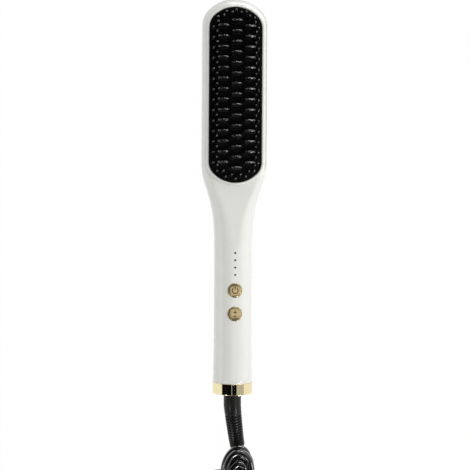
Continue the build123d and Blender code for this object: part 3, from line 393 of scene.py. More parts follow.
def seen_rays(tree):
    """A socket that is 1 for the rays that the camera sees by, also in a mirror or through glass."""
    rays = add_node(tree, "ShaderNodeLightPath")
    seen = rays.outputs["Is Camera Ray"]
    for kind in ("Is Glossy Ray", "Is Transmission Ray"):
        step = add_node(tree, "ShaderNodeMath", {0: seen, 1: rays.outputs[kind]}, operation="MAXIMUM")
        seen = step.outputs[0]
    return seen


# %% World and table
SKY_LEVEL = 0.53
PAPER_SHARE, PAPER_LEVEL = 0.95, 1.035
TABLE_HALF, TABLE_LEVEL = 3.0, -0.0002

world = bpy.data.worlds.new("studio")
scene.world = world
world.use_nodes = True
sky = world.node_tree
sky.nodes.clear()
levels = {"Value": seen_rays(sky), "To Min": SKY_LEVEL, "To Max": 1.0}
level = add_node(sky, "ShaderNodeMapRange", levels).outputs["Result"]
glow = add_node(sky, "ShaderNodeBackground", {"Color": linear("#ffffff"), "Strength": level})
add_node(sky, "ShaderNodeOutputWorld", {"Surface": glow.outputs[0]})

table_finish, tree = fresh_tree("white card")
share = add_node(tree, "ShaderNodeMath", {0: seen_rays(tree), 1: PAPER_SHARE}, operation="MULTIPLY")
card = add_node(tree, "ShaderNodeBsdfDiffuse", {"Color": linear("#acacaa")})
paper = add_node(tree, "ShaderNodeEmission", {"Color": linear("#ffffff"), "Strength": PAPER_LEVEL})
mixed = {0: share.outputs[0], 1: card.outputs[0], 2: paper.outputs[0]}
both = add_node(tree, "ShaderNodeMixShader", mixed)
add_node(tree, "ShaderNodeOutputMaterial", {"Surface": both.outputs[0]})

bm = bmesh.new()
bmesh.ops.create_grid(bm, x_segments=1, y_segments=1, size=TABLE_HALF)
bmesh.ops.translate(bm, vec=(0, 0, TABLE_LEVEL), verts=bm.verts[:])
table = to_object(bm, "table", [table_finish])
print("table at", TABLE_LEVEL)

# %% Lamps
LIGHTING, MIRRORED = False, True
LAMPS = [
    ("key from the right", (0.95, 0.1, 0.55), (0, 0, 0), (0.9, 0.9), 6.6, LIGHTING),
    ("fill from the left", (-1.0, -0.1, 0.25), (0, 0, 0), (0.4, 0.4), 2.1, LIGHTING),
    ("fill beyond the head", (0.25, 0.55, 0.5), (0, 0.12, 0), (0.4, 0.4), 0.7, LIGHTING),
    ("strip beyond the head", (0.45, 0.75, 0.42), (0.45, 0, 0), (1.0, 0.1), 9.0, MIRRORED),
    ("spot by the cord, right", (0.39, -0.36, 0.45), (0, -0.15, 0), (0.08, 0.08), 0.495, MIRRORED),
    ("spot by the cord, left", (-0.42, -0.36, 0.45), (0, -0.15, 0), (0.08, 0.08), 0.33, MIRRORED),
    ("strip by the cord, right", (0.39, -0.84, 0.45), (0.39, -0.2, 0), (0.1, 0.8), 9.0, MIRRORED),
    ("strip by the cord, left", (-0.42, -0.84, 0.45), (-0.42, -0.2, 0), (0.1, 0.8), 2.5, MIRRORED),
]

for name, place, target, size, power, mirrored in LAMPS:
    lamp = bpy.data.lights.new(name, "AREA")
    lamp.shape = "RECTANGLE"
    lamp.size, lamp.size_y = size
    lamp.energy = power
    holder = bpy.data.objects.new(name, lamp)
    holder.location = place
    holder.rotation_euler = (Vector(target) - Vector(place)).to_track_quat("-Z", "Y").to_euler()
    holder.visible_glossy = mirrored
    holder.visible_diffuse = not mirrored
    scene.collection.objects.link(holder)
print("hung", len(LAMPS), "lamps")

# %% [markdown]
# Polished metal and black gloss show what stands round them. Over the brush hangs the photographer's
# dark canopy, so that black stays black and the gold ring gets its dark band. Here it is a black
# cloth that only mirrored rays meet: it casts no shadow and no camera sees it. A narrow slit in it
# gives the thin light line in the middle of the ring's dark band, and a grey cloth beside it dims
# the gold to the right of that band. A dark card on the table by the head, also met only by mirrored
# rays, paints the thin grey line of shade along the head's right side as a reflection.

# %% Dark canopy
CANOPY_HEIGHT = 0.52
CANOPY_LEFT, CANOPY_RIGHT, COMB_CLOTH_LEFT = -1.9, 0.21, -2.6
RING_LEFT, RING_RIGHT, GREY_RIGHT = -1.25, 0.16, 0.95
SLIT_AT, SLIT_WIDTH = -0.085, 0.014
CANOPY_REACH, GAP_LOW, GAP_HIGH, GAP_LEFT = 1.4, -0.205, -0.02, -0.04
HEAD_CARD, HEAD_CARD_HEIGHT = (0.026, 0.14, 0.02, 0.17), 0.001


def hang_cloth(name, colour, places, height=CANOPY_HEIGHT):
    """Hang flat cloths of one colour at a height, met only by mirrored rays."""
    material, tree = fresh_tree(name)
    cloth = add_node(tree, "ShaderNodeEmission", {"Color": linear(colour), "Strength": 1.0})
    add_node(tree, "ShaderNodeOutputMaterial", {"Surface": cloth.outputs[0]})
    bm = bmesh.new()
    for left, right, low, high in places:
        made = bmesh.ops.create_grid(bm, x_segments=1, y_segments=1, size=0.5)["verts"]
        bmesh.ops.scale(bm, vec=(right - left, high - low, 1), verts=made)
        bmesh.ops.translate(bm, vec=((left + right) / 2, (low + high) / 2, height), verts=made)
    canopy = to_object(bm, name, [material])
    canopy.visible_camera = False
    canopy.visible_diffuse = False
    canopy.visible_transmission = False
    canopy.visible_shadow = False
    print(name, "over", len(places), "places")


black_places = [
    (COMB_CLOTH_LEFT, CANOPY_RIGHT, GAP_HIGH, CANOPY_REACH),
    (RING_LEFT, SLIT_AT - SLIT_WIDTH / 2, -CANOPY_REACH, GAP_LOW),
    (SLIT_AT + SLIT_WIDTH / 2, RING_RIGHT, -CANOPY_REACH, GAP_LOW),
    (CANOPY_LEFT, GAP_LEFT, GAP_LOW, GAP_HIGH),
]
hang_cloth("black cloth", "#0a0a0a", black_places)
hang_cloth("grey cloth", "#c2c2c2", [(RING_RIGHT, GREY_RIGHT, -CANOPY_REACH, GAP_LOW)])
# a dark card seen only in reflections: painted shade along the head's right side
hang_cloth("painted shade card by the head", "#202020", [HEAD_CARD], height=HEAD_CARD_HEIGHT)

# %% [markdown]
# Every finish is a moulded, plated or drawn surface, so each one starts from the same Principled
# shader and adds what its process leaves behind. The pattern is always measured in real millimetres
# on Object coordinates, which are metres here, so a grain of 0.3 mm is a scale of 1 / 0.0003.

# %% Surface helper
GRAIN_DEPTH = 0.05


def per_mm(size):
    """The texture scale at which a pattern repeats every so many millimetres."""
    return 1 / (size * MM)


def surface(name, tones, gloss, grain, **sockets):
    """A Principled material with two near tones, uneven roughness and a fine grain.

    The tones are two colours and the size of their patches, the gloss is a roughness and how far
    it strays, and the grain is a size and a strength. Sizes are in millimetres.
    """
    colour, other_colour, patch = tones
    roughness, stray = gloss
    grain_size, strength = grain
    material, tree = fresh_tree(name)
    where = add_node(tree, "ShaderNodeTexCoord").outputs["Object"]

    def noise(size, detail):
        """A noise pattern of a size in millimetres."""
        inputs = {"Vector": where, "Scale": per_mm(size), "Detail": detail}
        return add_node(tree, "ShaderNodeTexNoise", inputs).outputs["Fac"]

    patches, fine = noise(patch, 3.0), noise(grain_size, 2.0)
    colours = {"Fac": patches, "Color1": linear(colour), "Color2": linear(other_colour)}
    mixed = add_node(tree, "ShaderNodeMixRGB", colours)
    levels = {"Value": patches, "To Min": roughness - stray, "To Max": roughness + stray}
    rough = add_node(tree, "ShaderNodeMapRange", levels)
    bumps = {"Height": fine, "Strength": strength, "Distance": GRAIN_DEPTH * MM}
    relief = add_node(tree, "ShaderNodeBump", bumps)
    shader = add_node(
        tree,
        "ShaderNodeBsdfPrincipled",
        {
            "Base Color": mixed.outputs["Color"],
            "Roughness": rough.outputs["Result"],
            "Normal": relief.outputs["Normal"],
            **{socket.replace("_", " "): value for socket, value in sockets.items()},
        },
    )
    add_node(tree, "ShaderNodeOutputMaterial", {"Surface": shader.outputs[0]})
    return material


# %% [markdown]
# The casing is injection moulded in a pearl ABS: mica flakes flow with the melt and leave faint
# lighter swirls, and the clear skin over them is glossy. The comb is a heat-proof black PBT. Its
# guard pins are moulded against polished steel, so that their tips catch the light. The fins are
# cast aluminium under a black glaze, smoother than the plastic and a little deeper.

# %% Casing and comb finishes
pearl_abs = surface(
    "pearl ABS, injection moulded",
    tones=("#f3f3ee", "#ecece6", 9.0),
    gloss=(0.24, 0.03),
    grain=(0.25, 0.04),
    Coat_Weight=0.5,
    Coat_Roughness=0.08,
)
comb_pbt = surface(
    "black PBT, injection moulded",
    tones=("#060606", "#0c0c0b", 2.0),
    gloss=(0.24, 0.05),
    grain=(0.2, 0.08),
    Specular_IOR_Level=0.25,
)
pin_pbt = surface(
    "black PBT, moulded against polished steel",
    tones=("#060606", "#0c0c0b", 2.0),
    gloss=(0.22, 0.03),
    grain=(0.2, 0.03),
    Coat_Weight=1.0,
    Coat_Roughness=0.2,
)
fin_glaze = surface(
    "black glaze on cast aluminium",
    tones=("#040404", "#090908", 3.0),
    gloss=(0.2, 0.04),
    grain=(0.5, 0.03),
    Coat_Weight=1.0,
    Coat_Roughness=0.12,
)

# %% [markdown]
# The ring and the buttons are coloured by plating. The ring is a bright pale gold with hardly any
# grain, because the plastic under it was polished in the mould. The buttons are a deeper champagne
# under a tinted lacquer, which keeps a little colour of its own where the metal mirrors the dark.
# Plating thins over a piece, which shows as a slow change of tone. The plug's pins are
# nickel plated in the same way, and springs, screws and the clip are bare rolled or drawn steel.

# %% Metal finishes
ring_plate = surface(
    "pale gold, electroplated and polished",
    tones=("#f1e6bf", "#ebdcae", 6.0),
    gloss=(0.05, 0.02),
    grain=(0.3, 0.01),
    Metallic=1.0,
)
gold_plate = surface(
    "champagne gold, plated and lacquered",
    tones=("#ccb98c", "#b7a376", 2.0),
    gloss=(0.16, 0.04),
    grain=(0.3, 0.03),
    Metallic=0.8,
)
mark_ink = surface(
    "dark lacquer in a groove",
    tones=("#2a2419", "#1c1811", 1.0),
    gloss=(0.4, 0.05),
    grain=(0.1, 0.1),
)
nickel_plate = surface(
    "nickel, electroplated",
    tones=("#c9c5bb", "#b9b5ab", 5.0),
    gloss=(0.2, 0.05),
    grain=(0.2, 0.05),
    Metallic=1.0,
)
spring_steel = surface(
    "spring steel, rolled",
    tones=("#a5a6a8", "#8d8e90", 3.0),
    gloss=(0.32, 0.06),
    grain=(0.15, 0.1),
    Metallic=1.0,
)
cast_aluminium = surface(
    "aluminium, die cast",
    tones=("#c2c3c5", "#acadb0", 4.0),
    gloss=(0.42, 0.08),
    grain=(0.3, 0.25),
    Metallic=1.0,
)
turned_brass = surface(
    "brass, turned and stamped",
    tones=("#d1a85a", "#b98f45", 3.0),
    gloss=(0.28, 0.06),
    grain=(0.15, 0.06),
    Metallic=1.0,
)

# %% [markdown]
# The cord is extruded PVC with a satin skin, the boot at its end is a softer moulded elastomer, and
# the plug is a hard PVC with the fine bumps of a spark-eroded mould. What lies inside the casing is
# plainer: a glass fibre board, black switch housings, mica and alumina round the heater.

# %% Cord, plug and inner finishes
cord_pvc = surface(
    "black PVC, extruded",
    tones=("#0a0a0a", "#101010", 12.0),
    gloss=(0.17, 0.03),
    grain=(0.4, 0.05),
    Coat_Weight=0.8,
    Coat_Roughness=0.05,
)
boot_tpe = surface(
    "black elastomer, moulded",
    tones=("#1a1a1a", "#20201f", 6.0),
    gloss=(0.23, 0.03),
    grain=(0.3, 0.06),
    Specular_IOR_Level=0.18,
)
plug_pvc = surface(
    "black PVC, moulded over the pins",
    tones=("#121212", "#1a1a1a", 8.0),
    gloss=(0.45, 0.05),
    grain=(0.35, 0.35),
)
alumina = surface(
    "alumina and mica, fired and pressed",
    tones=("#efece2", "#ded9c8", 3.0),
    gloss=(0.6, 0.08),
    grain=(0.2, 0.2),
)
board_fr4 = surface(
    "glass fibre laminate, green mask",
    tones=("#1c5a31", "#174c29", 4.0),
    gloss=(0.35, 0.06),
    grain=(0.5, 0.1),
)
inner_nylon = surface(
    "black nylon, injection moulded",
    tones=("#191919", "#222222", 3.0),
    gloss=(0.5, 0.06),
    grain=(0.25, 0.15),
)
smoked_acrylic = surface(
    "smoked acrylic, injection moulded",
    tones=("#3a3936", "#302f2c", 3.0),
    gloss=(0.12, 0.03),
    grain=(0.3, 0.02),
    Transmission_Weight=0.7,
    IOR=1.49,
)

SLOT_FINISHES = {
    "white_shell": pearl_abs,
    "gold_metal": gold_plate,
    "black_comb": comb_pbt,
    "black_coated_fins": fin_glaze,
    "aluminium_plate": cast_aluminium,
    "black_cord": cord_pvc,
    "black_boot": boot_tpe,
    "plug_plastic": plug_pvc,
    "nickel_pins": nickel_plate,
    "spring_steel": spring_steel,
    "white_ceramic": alumina,
    "board_laminate": board_fr4,
    "inner_plastic": inner_nylon,
    "clear_plastic": smoked_acrylic,
    "brass_contact": turned_brass,
}
slot_of = {part["node"]: part["material_slot"] for part in frame["record"]["subparts"]}
for name, node in nodes.items():
    node.data.materials.clear()
    node.data.materials.append(SLOT_FINISHES[slot_of[name]])
print("finishes given to", len(nodes), "nodes")

# %% [markdown]
# The white casing is two moulded shells that meet at half height. A maker draws such a handle as a
# row of sections from the round cord end, through a narrow neck, to the long head, and carries a
# skin along them. Here each section is a row of points: a flat back, a wide back corner, a short
# side, a front corner and a flat front, all worked out from a few measured stations.

# %% Casing measures
HEAD_TIP, HEAD_CUT = 141.0, 24.0
HEAD_HALF_WIDTH, TIP_CORNER, TIP_DEPTH = 23.3, 15.0, 18.7
SEAM, WALL = 14.4, 2.0
RING_TOP, RING_END = -133.1, -141.0
OPENING_HALF_WIDTH, OPENING_LOW, OPENING_HIGH = 18.9, 9.2, 134.0
OPENING_DEPTH, OPENING_CORNER = 14.85, 12.0
STATIONS = [
    (31.2, 23.3, 0.0, 23.2, 6.0, 12.0),
    (24.0, 23.3, 0.0, 23.2, 6.0, 12.0),
    (19.2, 23.0, 0.0, 23.2, 6.0, 12.0),
    (12.0, 21.6, 0.0, 23.25, 6.3, 11.8),
    (4.2, 19.1, 0.0, 23.6, 7.0, 11.6),
    (-3.0, 16.95, 0.0, 24.2, 8.0, 11.4),
    (-10.2, 15.35, 0.05, 25.0, 9.2, 11.3),
    (-17.4, 14.35, 0.15, 25.9, 10.3, 11.4),
    (-24.6, 13.85, 0.3, 26.7, 11.3, 11.6),
    (-33.0, 13.65, 0.45, 27.4, 12.2, 11.9),
    (-48.0, 13.6, 0.7, 27.9, 12.6, 12.2),
    (-70.0, 13.6, 0.8, 28.0, 12.7, 12.3),
    (-94.0, 13.6, 0.8, 28.0, 12.7, 12.3),
    (-116.0, 13.65, 0.75, 28.05, 12.7, 12.4),
    (-125.5, 13.9, 0.5, 28.3, 12.9, 12.7),
    (-133.1, 14.1, 0.3, 28.5, 13.1, 13.0),
]


def eased(table, where):
    """The values of a table at a place between its rows, on smooth curves through them."""
    rising = sorted(table)
    last = max(index for index in range(len(rising) - 1) if rising[index][0] <= max(where, rising[0][0]))
    low, high = rising[last], rising[last + 1]
    before, after = rising[max(last - 1, 0)], rising[min(last + 2, len(rising) - 1)]
    span = high[0] - low[0]
    t = min(max((where - low[0]) / span, 0.0), 1.0)
    values = []
    for a, b, c, d in list(zip(before, low, high, after))[1:]:
        leave = (c - a) / (high[0] - before[0]) * span
        arrive = (d - b) / (after[0] - low[0]) * span
        values.append(
            b * (2 * t**3 - 3 * t**2 + 1)
            + leave * (t**3 - 2 * t**2 + t)
            + c * (3 * t**2 - 2 * t**3)
            + arrive * (t**3 - t**2)
        )
    return values


def end_arcs(half_width, depth, corner):
    """Radius of the middle arc of a three-arc end, and where the corner arcs stop."""
    crown = ((half_width - corner) ** 2 + depth**2 - corner**2) / (2 * (depth - corner))
    return crown, atan2(crown - depth, half_width - corner)


TIP_CROWN, TIP_TURN = end_arcs(HEAD_HALF_WIDTH, TIP_DEPTH, TIP_CORNER)
FLAT_STEPS, BACK_STEPS, SIDE_STEPS, FRONT_STEPS = 6, 12, 4, 10


def head_width(y, inset):
    """Half the width of the head's outline at y, drawn in by an inset."""
    corner_y = HEAD_TIP - TIP_DEPTH
    corner, crown = TIP_CORNER - inset, TIP_CROWN - inset
    if y <= corner_y:
        return HEAD_HALF_WIDTH - inset
    if y <= corner_y + corner * sin(TIP_TURN):
        return HEAD_HALF_WIDTH - TIP_CORNER + sqrt(corner**2 - (y - corner_y) ** 2)
    return sqrt(max(crown**2 - (y - HEAD_TIP + TIP_CROWN) ** 2, 0.0))


def casing_row(y, shrink=0.0):
    """The casing's section at y as a ring of points, from the middle of the back round to it."""
    half, back, front, front_corner, back_corner = eased(STATIONS, y)
    half, back, front = half - shrink, back + shrink, front - shrink
    front_corner, back_corner = front_corner - shrink, back_corner - shrink

    def width(inset):
        return head_width(y, inset) if y > HEAD_CUT else half - inset

    def turn(corner):
        return acos(max(1 - (HEAD_TIP - y) / corner, 0.0))

    low_turn, high_turn = turn(back_corner), turn(front_corner)
    right = []
    foot = back + back_corner * (1 - sin(low_turn))
    foot_width = width(back_corner * (1 - cos(low_turn)))
    right += [(foot_width * step / FLAT_STEPS, foot) for step in range(FLAT_STEPS)]
    for step in range(BACK_STEPS):
        angle = low_turn * (1 - step / BACK_STEPS)
        right.append((width(back_corner * (1 - cos(angle))), back + back_corner * (1 - sin(angle))))
    side_low, side_high = back + back_corner, front - front_corner
    side_rise = (side_high - side_low) / SIDE_STEPS
    right += [(width(0), side_low + side_rise * step) for step in range(SIDE_STEPS)]
    for step in range(FRONT_STEPS):
        angle = high_turn * step / FRONT_STEPS
        right.append((width(front_corner * (1 - cos(angle))), front - front_corner * (1 - sin(angle))))
    top = front - front_corner * (1 - sin(high_turn))
    top_width = width(front_corner * (1 - cos(high_turn)))
    right += [(top_width * (1 - step / FLAT_STEPS), top) for step in range(FLAT_STEPS + 1)]
    left = [(-x, z) for x, z in reversed(right[1:-1])]
    return [Vector((x, y, z)) for x, z in right + left]


# %% Casing skin
NECK_START, HEAD_START, TIP_START, TIP_ROWS = -26.0, 28.0, 108.0, 24

rows = [casing_row(RING_TOP, 0.35), casing_row(RING_TOP + 0.12, 0.12), casing_row(RING_TOP + 0.35)]
rows += [casing_row(RING_TOP + 2.5 + 4 * step) for step in range(26)]
rows += [casing_row(NECK_START + 2 * step) for step in range(26)]
rows += [casing_row(HEAD_START + 7 * step) for step in range(12)]
for step in range(TIP_ROWS + 1):
    rows.append(casing_row(TIP_START + (HEAD_TIP - TIP_START) * sin(pi / 2 * step / TIP_ROWS)))
print("casing has", len(rows), "rows of", len(rows[0]), "points")

# %% [markdown]
# The skin is cut at the seam and each half gets its wall thickness inwards. The front half is then
# opened for the comb, with a seat under the edge for the comb's flange, and for the two buttons and
# four lights. Boolean modifiers do this as a milling cutter would. The raised lip round the comb is
# added the same way, and a narrow bevel breaks every edge, as a polished mould does.

# %% Cutting helpers
CORNER_STEPS, CROWN_STEPS, STRAIGHT_STEPS = 14, 16, 24


def hold(bm, name):
    """A plain object from a shape still in millimetres, for modifiers to work on."""
    clean(bm)
    return to_object(bm, name)


def cut(held, tool, operation="DIFFERENCE"):
    """Cut a tool's shape out of a held one, or add it."""
    step = held.modifiers.new(tool.name, "BOOLEAN")
    step.operation = operation
    step.solver = "EXACT"
    step.use_self = operation == "DIFFERENCE" and "mark" in tool.name
    step.object = tool


def break_edges(held, width, limit=50):
    """A narrow bevel on every edge sharper than the limit."""
    step = held.modifiers.new("broken edges", "BEVEL")
    step.width = width
    step.segments = 2
    step.limit_method = "ANGLE"
    step.angle_limit = radians(limit)


def settle(held, tools=()):
    """The held shape with its modifiers applied, as a bmesh. The tools are put away."""
    graph = bpy.context.evaluated_depsgraph_get()
    mesh = bpy.data.meshes.new_from_object(held.evaluated_get(graph))
    bm = bmesh.new()
    bm.from_mesh(mesh)
    bpy.data.meshes.remove(mesh)
    for used in (held, *tools):
        bpy.data.objects.remove(used)
    return bm


def spoke(side, end, angle):
    """A unit vector at an angle in one quarter of an outline."""
    return Vector((side * cos(angle), end * sin(angle), 0))


def outline_row(grow, z):
    """The comb opening's outline, grown by an amount, as a ring of points at a height."""
    half_width, depth, corner = (
        size + grow for size in (OPENING_HALF_WIDTH, OPENING_DEPTH, OPENING_CORNER)
    )
    crown, turn = end_arcs(half_width, depth, corner)
    low, high = OPENING_LOW - grow, OPENING_HIGH + grow
    points = []
    for end, side in ((1, 1), (1, -1), (-1, -1), (-1, 1)):
        centre = Vector((side * (half_width - corner), high - depth if end > 0 else low + depth, z))
        peak = Vector((0, high - crown if end > 0 else low + crown, z))
        sweep = [turn * step / CORNER_STEPS for step in range(CORNER_STEPS)]
        arc = [centre + spoke(side, end, angle) * corner for angle in sweep]
        sweep = [turn + (pi / 2 - turn) * step / CROWN_STEPS for step in range(CROWN_STEPS + 1)]
        arc += [peak + spoke(side, end, angle) * crown for angle in sweep]
        points += arc if end * side > 0 else arc[-2::-1]
        if end * side < 0:
            last = points[-1]
            reach = (low + depth if end > 0 else high - depth) - last.y
            for step in range(1, STRAIGHT_STEPS):
                points.append(last + Vector((0, reach * step / STRAIGHT_STEPS, 0)))
    return points


# %% Casing halves
def casing_half(front):
    """One shell of the casing, open at the seam, with its wall."""
    bm = loft_rows(rows, cap_high=False)
    bmesh.ops.bisect_plane(
        bm,
        geom=bm.verts[:] + bm.edges[:] + bm.faces[:],
        plane_co=(0, 0, SEAM),
        plane_no=(0, 0, 1 if front else -1),
        clear_inner=True,
    )
    held = hold(bm, "front half" if front else "back half")
    wall = held.modifiers.new("wall", "SOLIDIFY")
    wall.thickness = WALL
    wall.offset = -1
    wall.use_even_offset = True
    return held


LIP_ROOT, LIP_TOP, LIP_WIDTH, LIP_ROUND = 21.3, 24.8, 1.7, 0.7
SEAT_FLOOR, SEAT_TOP, SEAT_LEDGE = 15.0, 21.0, 0.8

turns = [radians(angle) for angle in (0, 22, 45, 67, 90)]
lip_round = [(LIP_ROUND * (1 - cos(turn)), LIP_ROUND * (1 - sin(turn))) for turn in turns]
lip_profile = [(0.0, LIP_ROOT)] + [(inward, LIP_TOP - drop) for inward, drop in lip_round]
lip_profile += [(LIP_WIDTH - inward, LIP_TOP - drop) for inward, drop in reversed(lip_round)]
lip_profile.append((LIP_WIDTH, LIP_ROOT))
lip = hold(loft_rows([outline_row(grow, z) for grow, z in lip_profile], join_ends=True), "lip")
seat_profile = [(LIP_WIDTH, SEAT_FLOOR), (LIP_WIDTH, SEAT_TOP), (SEAT_LEDGE, SEAT_TOP), (SEAT_LEDGE, 30.0)]
seat = hold(loft_rows([outline_row(grow, z) for grow, z in seat_profile]), "seat")

POWER_Y, TEMPERATURE_Y = -66.9, -83.5
LIGHT_PLACES = [-40.5, -45.6, -50.8, -55.9]
BUTTON_HOLE, LIGHT_HOLE, CASING_EDGE = 5.2, 0.75, 0.16
bm = bmesh.new()
for y in (POWER_Y, TEMPERATURE_Y, *LIGHT_PLACES):
    radius, segments = (LIGHT_HOLE, 24) if y in LIGHT_PLACES else (BUTTON_HOLE, 72)
    bmesh.ops.create_cone(
        bm,
        cap_ends=True,
        segments=segments,
        radius1=radius,
        radius2=radius,
        depth=10.0,
        matrix=Matrix.Translation((0, y, 28.0)),
    )
wells = hold(bm, "wells")

held = casing_half(front=True)
cut(held, seat)
cut(held, wells)
cut(held, lip, "UNION")
break_edges(held, CASING_EDGE)
bm = settle(held, (seat, wells, lip))
finish_piece(bm, "front_casing", "brush", "white_shell", ["front_shell"])

held = casing_half(front=False)
break_edges(held, CASING_EDGE)
bm = settle(held)
finish_piece(bm, "back_casing", "brush", "white_shell", ["back_shell"])

# %% [markdown]
# The end ring is a spun cup of plated metal: a short tube with a floor and a hole for the boot. Its
# outer edge is rounded, and that small round catches the bright line at the bottom of the ring.

# %% End ring
def arc_points(centre, radius, start, stop, steps):
    """Points on an arc in the plane of a profile, as pairs, between two angles in degrees."""
    angles = [radians(start + (stop - start) * step / steps) for step in range(steps + 1)]
    return [(centre[0] + radius * cos(angle), centre[1] + radius * sin(angle)) for angle in angles]


RING_RADIUS, RING_BORE, RING_HOLE, RING_FLOOR, RING_RIM = 14.4, 12.05, 6.8, 1.6, 0.35
ring_profile = [(RING_BORE, RING_TOP), (RING_RADIUS - 0.15, RING_TOP), (RING_RADIUS, RING_TOP - 0.15)]
ring_profile += [(RING_RADIUS, RING_TOP - 0.3), (RING_RADIUS, RING_END + RING_RIM + 0.2)]
ring_profile += arc_points((RING_RADIUS - RING_RIM, RING_END + RING_RIM), RING_RIM, 0, -90, 6)
ring_profile += arc_points((RING_HOLE + 0.3, RING_END + 0.3), 0.3, -90, -180, 4)
ring_profile += [(RING_HOLE, RING_END + RING_FLOOR), (RING_BORE, RING_END + RING_FLOOR)]
points = [Vector((radius, y, AXIS_HEIGHT)) for radius, y in ring_profile]
bm = lathe(points, (0, 0, AXIS_HEIGHT), Y_AXIS, steps=144, closed=True)
finish_piece(bm, "gold_end_ring", "brush", "gold_metal", ["end_ring"], 50, [ring_plate])

# %% [markdown]
# Each button is a plated cap with a low dome and a rounded rim, and a generic mark sunk into it:
# a broken circle with a bar for power, and a plus over a minus for the temperature. The marks are
# grooves about 0.3 mm deep, filled with a dark lacquer, and small cutters of their shape make them.

# %% Buttons
BUTTON_RADIUS, BUTTON_EDGE, BUTTON_TOP, BUTTON_ROUND = 4.95, 28.28, 28.55, 0.45
STEM_RADIUS, STEM_END, FLANGE_RADIUS, FLANGE_LOW, FLANGE_HIGH = 1.9, 21.6, 5.9, 22.9, 23.7
GROOVE_FLOOR, GROOVE_WIDTH, MARK_RADIUS, MARK_LENGTH = 28.2, 0.6, 2.35, 2.2
DOME_RADIUS, DOME_STEPS = BUTTON_RADIUS - BUTTON_ROUND, 12


def bar(bm, across, along, y):
    """A straight groove cutter."""
    made = bmesh.ops.create_cube(bm, size=1.0)["verts"]
    bmesh.ops.scale(bm, vec=(across, along, 1.0), verts=made)
    bmesh.ops.translate(bm, vec=(0.0, y, GROOVE_FLOOR + 0.5), verts=made)


def power_mark(y):
    """Cutters for a broken circle with an upright bar in its gap."""
    outer, inner, high = MARK_RADIUS, MARK_RADIUS - GROOVE_WIDTH, GROOVE_FLOOR + 1.0
    section = [(inner, GROOVE_FLOOR), (outer, GROOVE_FLOOR), (outer, high), (inner, high)]
    bm = bmesh.new()
    gap = radians(38)
    points = [Vector((radius * sin(gap), radius * cos(gap), z)) for radius, z in section]
    face = bm.faces.new([bm.verts.new(point) for point in points])
    bmesh.ops.spin(bm, geom=[face], cent=(0, 0, 0), axis=Z_AXIS, angle=-(2 * pi - 2 * gap), steps=36)
    bar(bm, GROOVE_WIDTH, MARK_LENGTH, 1.75)
    bmesh.ops.translate(bm, vec=(0, y, 0), verts=bm.verts[:])
    return bm


def temperature_mark(y):
    """Cutters for a plus above a minus."""
    bm = bmesh.new()
    bar(bm, GROOVE_WIDTH, MARK_LENGTH, 1.3)
    bar(bm, MARK_LENGTH, GROOVE_WIDTH, 1.3)
    bar(bm, MARK_LENGTH, GROOVE_WIDTH, -1.5)
    bmesh.ops.translate(bm, vec=(0, y, 0), verts=bm.verts[:])
    return bm


def dome_height(radius):
    """The height of the cap's dome at a radius."""
    rise = BUTTON_TOP - BUTTON_EDGE
    dome = (DOME_RADIUS**2 + rise**2) / (2 * rise)
    return BUTTON_TOP - dome + sqrt(dome**2 - radius**2)


def button_cap(y):
    """A domed cap with a rounded rim, a retaining flange and a stem."""
    profile = [(0.0, STEM_END), (STEM_RADIUS, STEM_END), (STEM_RADIUS, FLANGE_LOW)]
    profile += [(FLANGE_RADIUS, FLANGE_LOW), (FLANGE_RADIUS, FLANGE_HIGH), (BUTTON_RADIUS, FLANGE_HIGH)]
    profile += arc_points((DOME_RADIUS, BUTTON_EDGE - BUTTON_ROUND), BUTTON_ROUND, 0, 80, 6)
    for step in range(1, DOME_STEPS + 1):
        radius = DOME_RADIUS * (1 - step / DOME_STEPS)
        profile.append((radius, dome_height(radius)))
    points = [Vector((radius, y, z)) for radius, z in profile]
    return lathe(points, (0, y, 0), Z_AXIS, steps=96)


for name, y, mark in (("power", POWER_Y, power_mark), ("temperature", TEMPERATURE_Y, temperature_mark)):
    held = hold(button_cap(y), name + " cap")
    tool = hold(mark(y), name + " mark")
    cut(held, tool)
    bm = settle(held, (tool,))
    for face in bm.faces:
        middle = face.calc_center_median() - Vector((0, y, 0))
        radius = middle.xy.length
        if radius < 3.2 and GROOVE_FLOOR - 0.02 < middle.z < dome_height(radius) - 0.03:
            face.material_index = 1
    replaced, finishes = [name + "_button"], [gold_plate, mark_ink]
    finish_piece(bm, name + "_cap", name + "_key", "gold_metal", replaced, finishes=finishes)

# %% [markdown]
# The fins are what straightens the hair. Each is a short cast blade, thick at its foot, with a
# rounded crest that rises to the middle, so that it parts hair without scratching the scalp. One
# blade is lofted from rounded sections and set down in three columns, half a pitch apart. In the
# side columns the crest falls away outwards, as the light on it shows.

# %% Heated fins
FIN_LOW, FIN_PITCH, SIDE_FIN_X = 19.5, 7.336, 9.3
CENTRE_FINS, SIDE_FINS = 15, 14
FIN_FOOT, FIN_SHOULDER, FIN_CREST, CREST_HALF, CREST_FALL = 22.0, 33.0, 35.4, 2.4, 0.12
FIN_LENGTH, FIN_THICKNESS, FIN_TAPER, CREST_SHARE = 4.2, 0.95, 0.25, 0.25


def fin_row(z, fall=0.0):
    """A blade's section at a height: a slim oblong with round ends. Its crest may fall to a side."""
    taper = FIN_TAPER * min((z - FIN_FOOT) / (FIN_SHOULDER - FIN_FOOT), 1.0)
    top = max(z - FIN_SHOULDER, 0.0) / (FIN_CREST - FIN_SHOULDER)
    over = sqrt(max(1 - top**2, 0.0))
    length = (FIN_LENGTH - taper) * (CREST_SHARE + (1 - CREST_SHARE) * over)
    thick = (FIN_THICKNESS - taper) * sqrt(over)
    points = []
    for side in (1, -1):
        for angle in (-90, -54, -18, 18, 54, 90):
            turn = radians(angle)
            x = side * (length - thick + thick * cos(turn))
            drop = top * (abs(fall) * CREST_HALF + fall * x)
            points.append(Vector((x, side * thick * sin(turn), z - drop)))
    return points


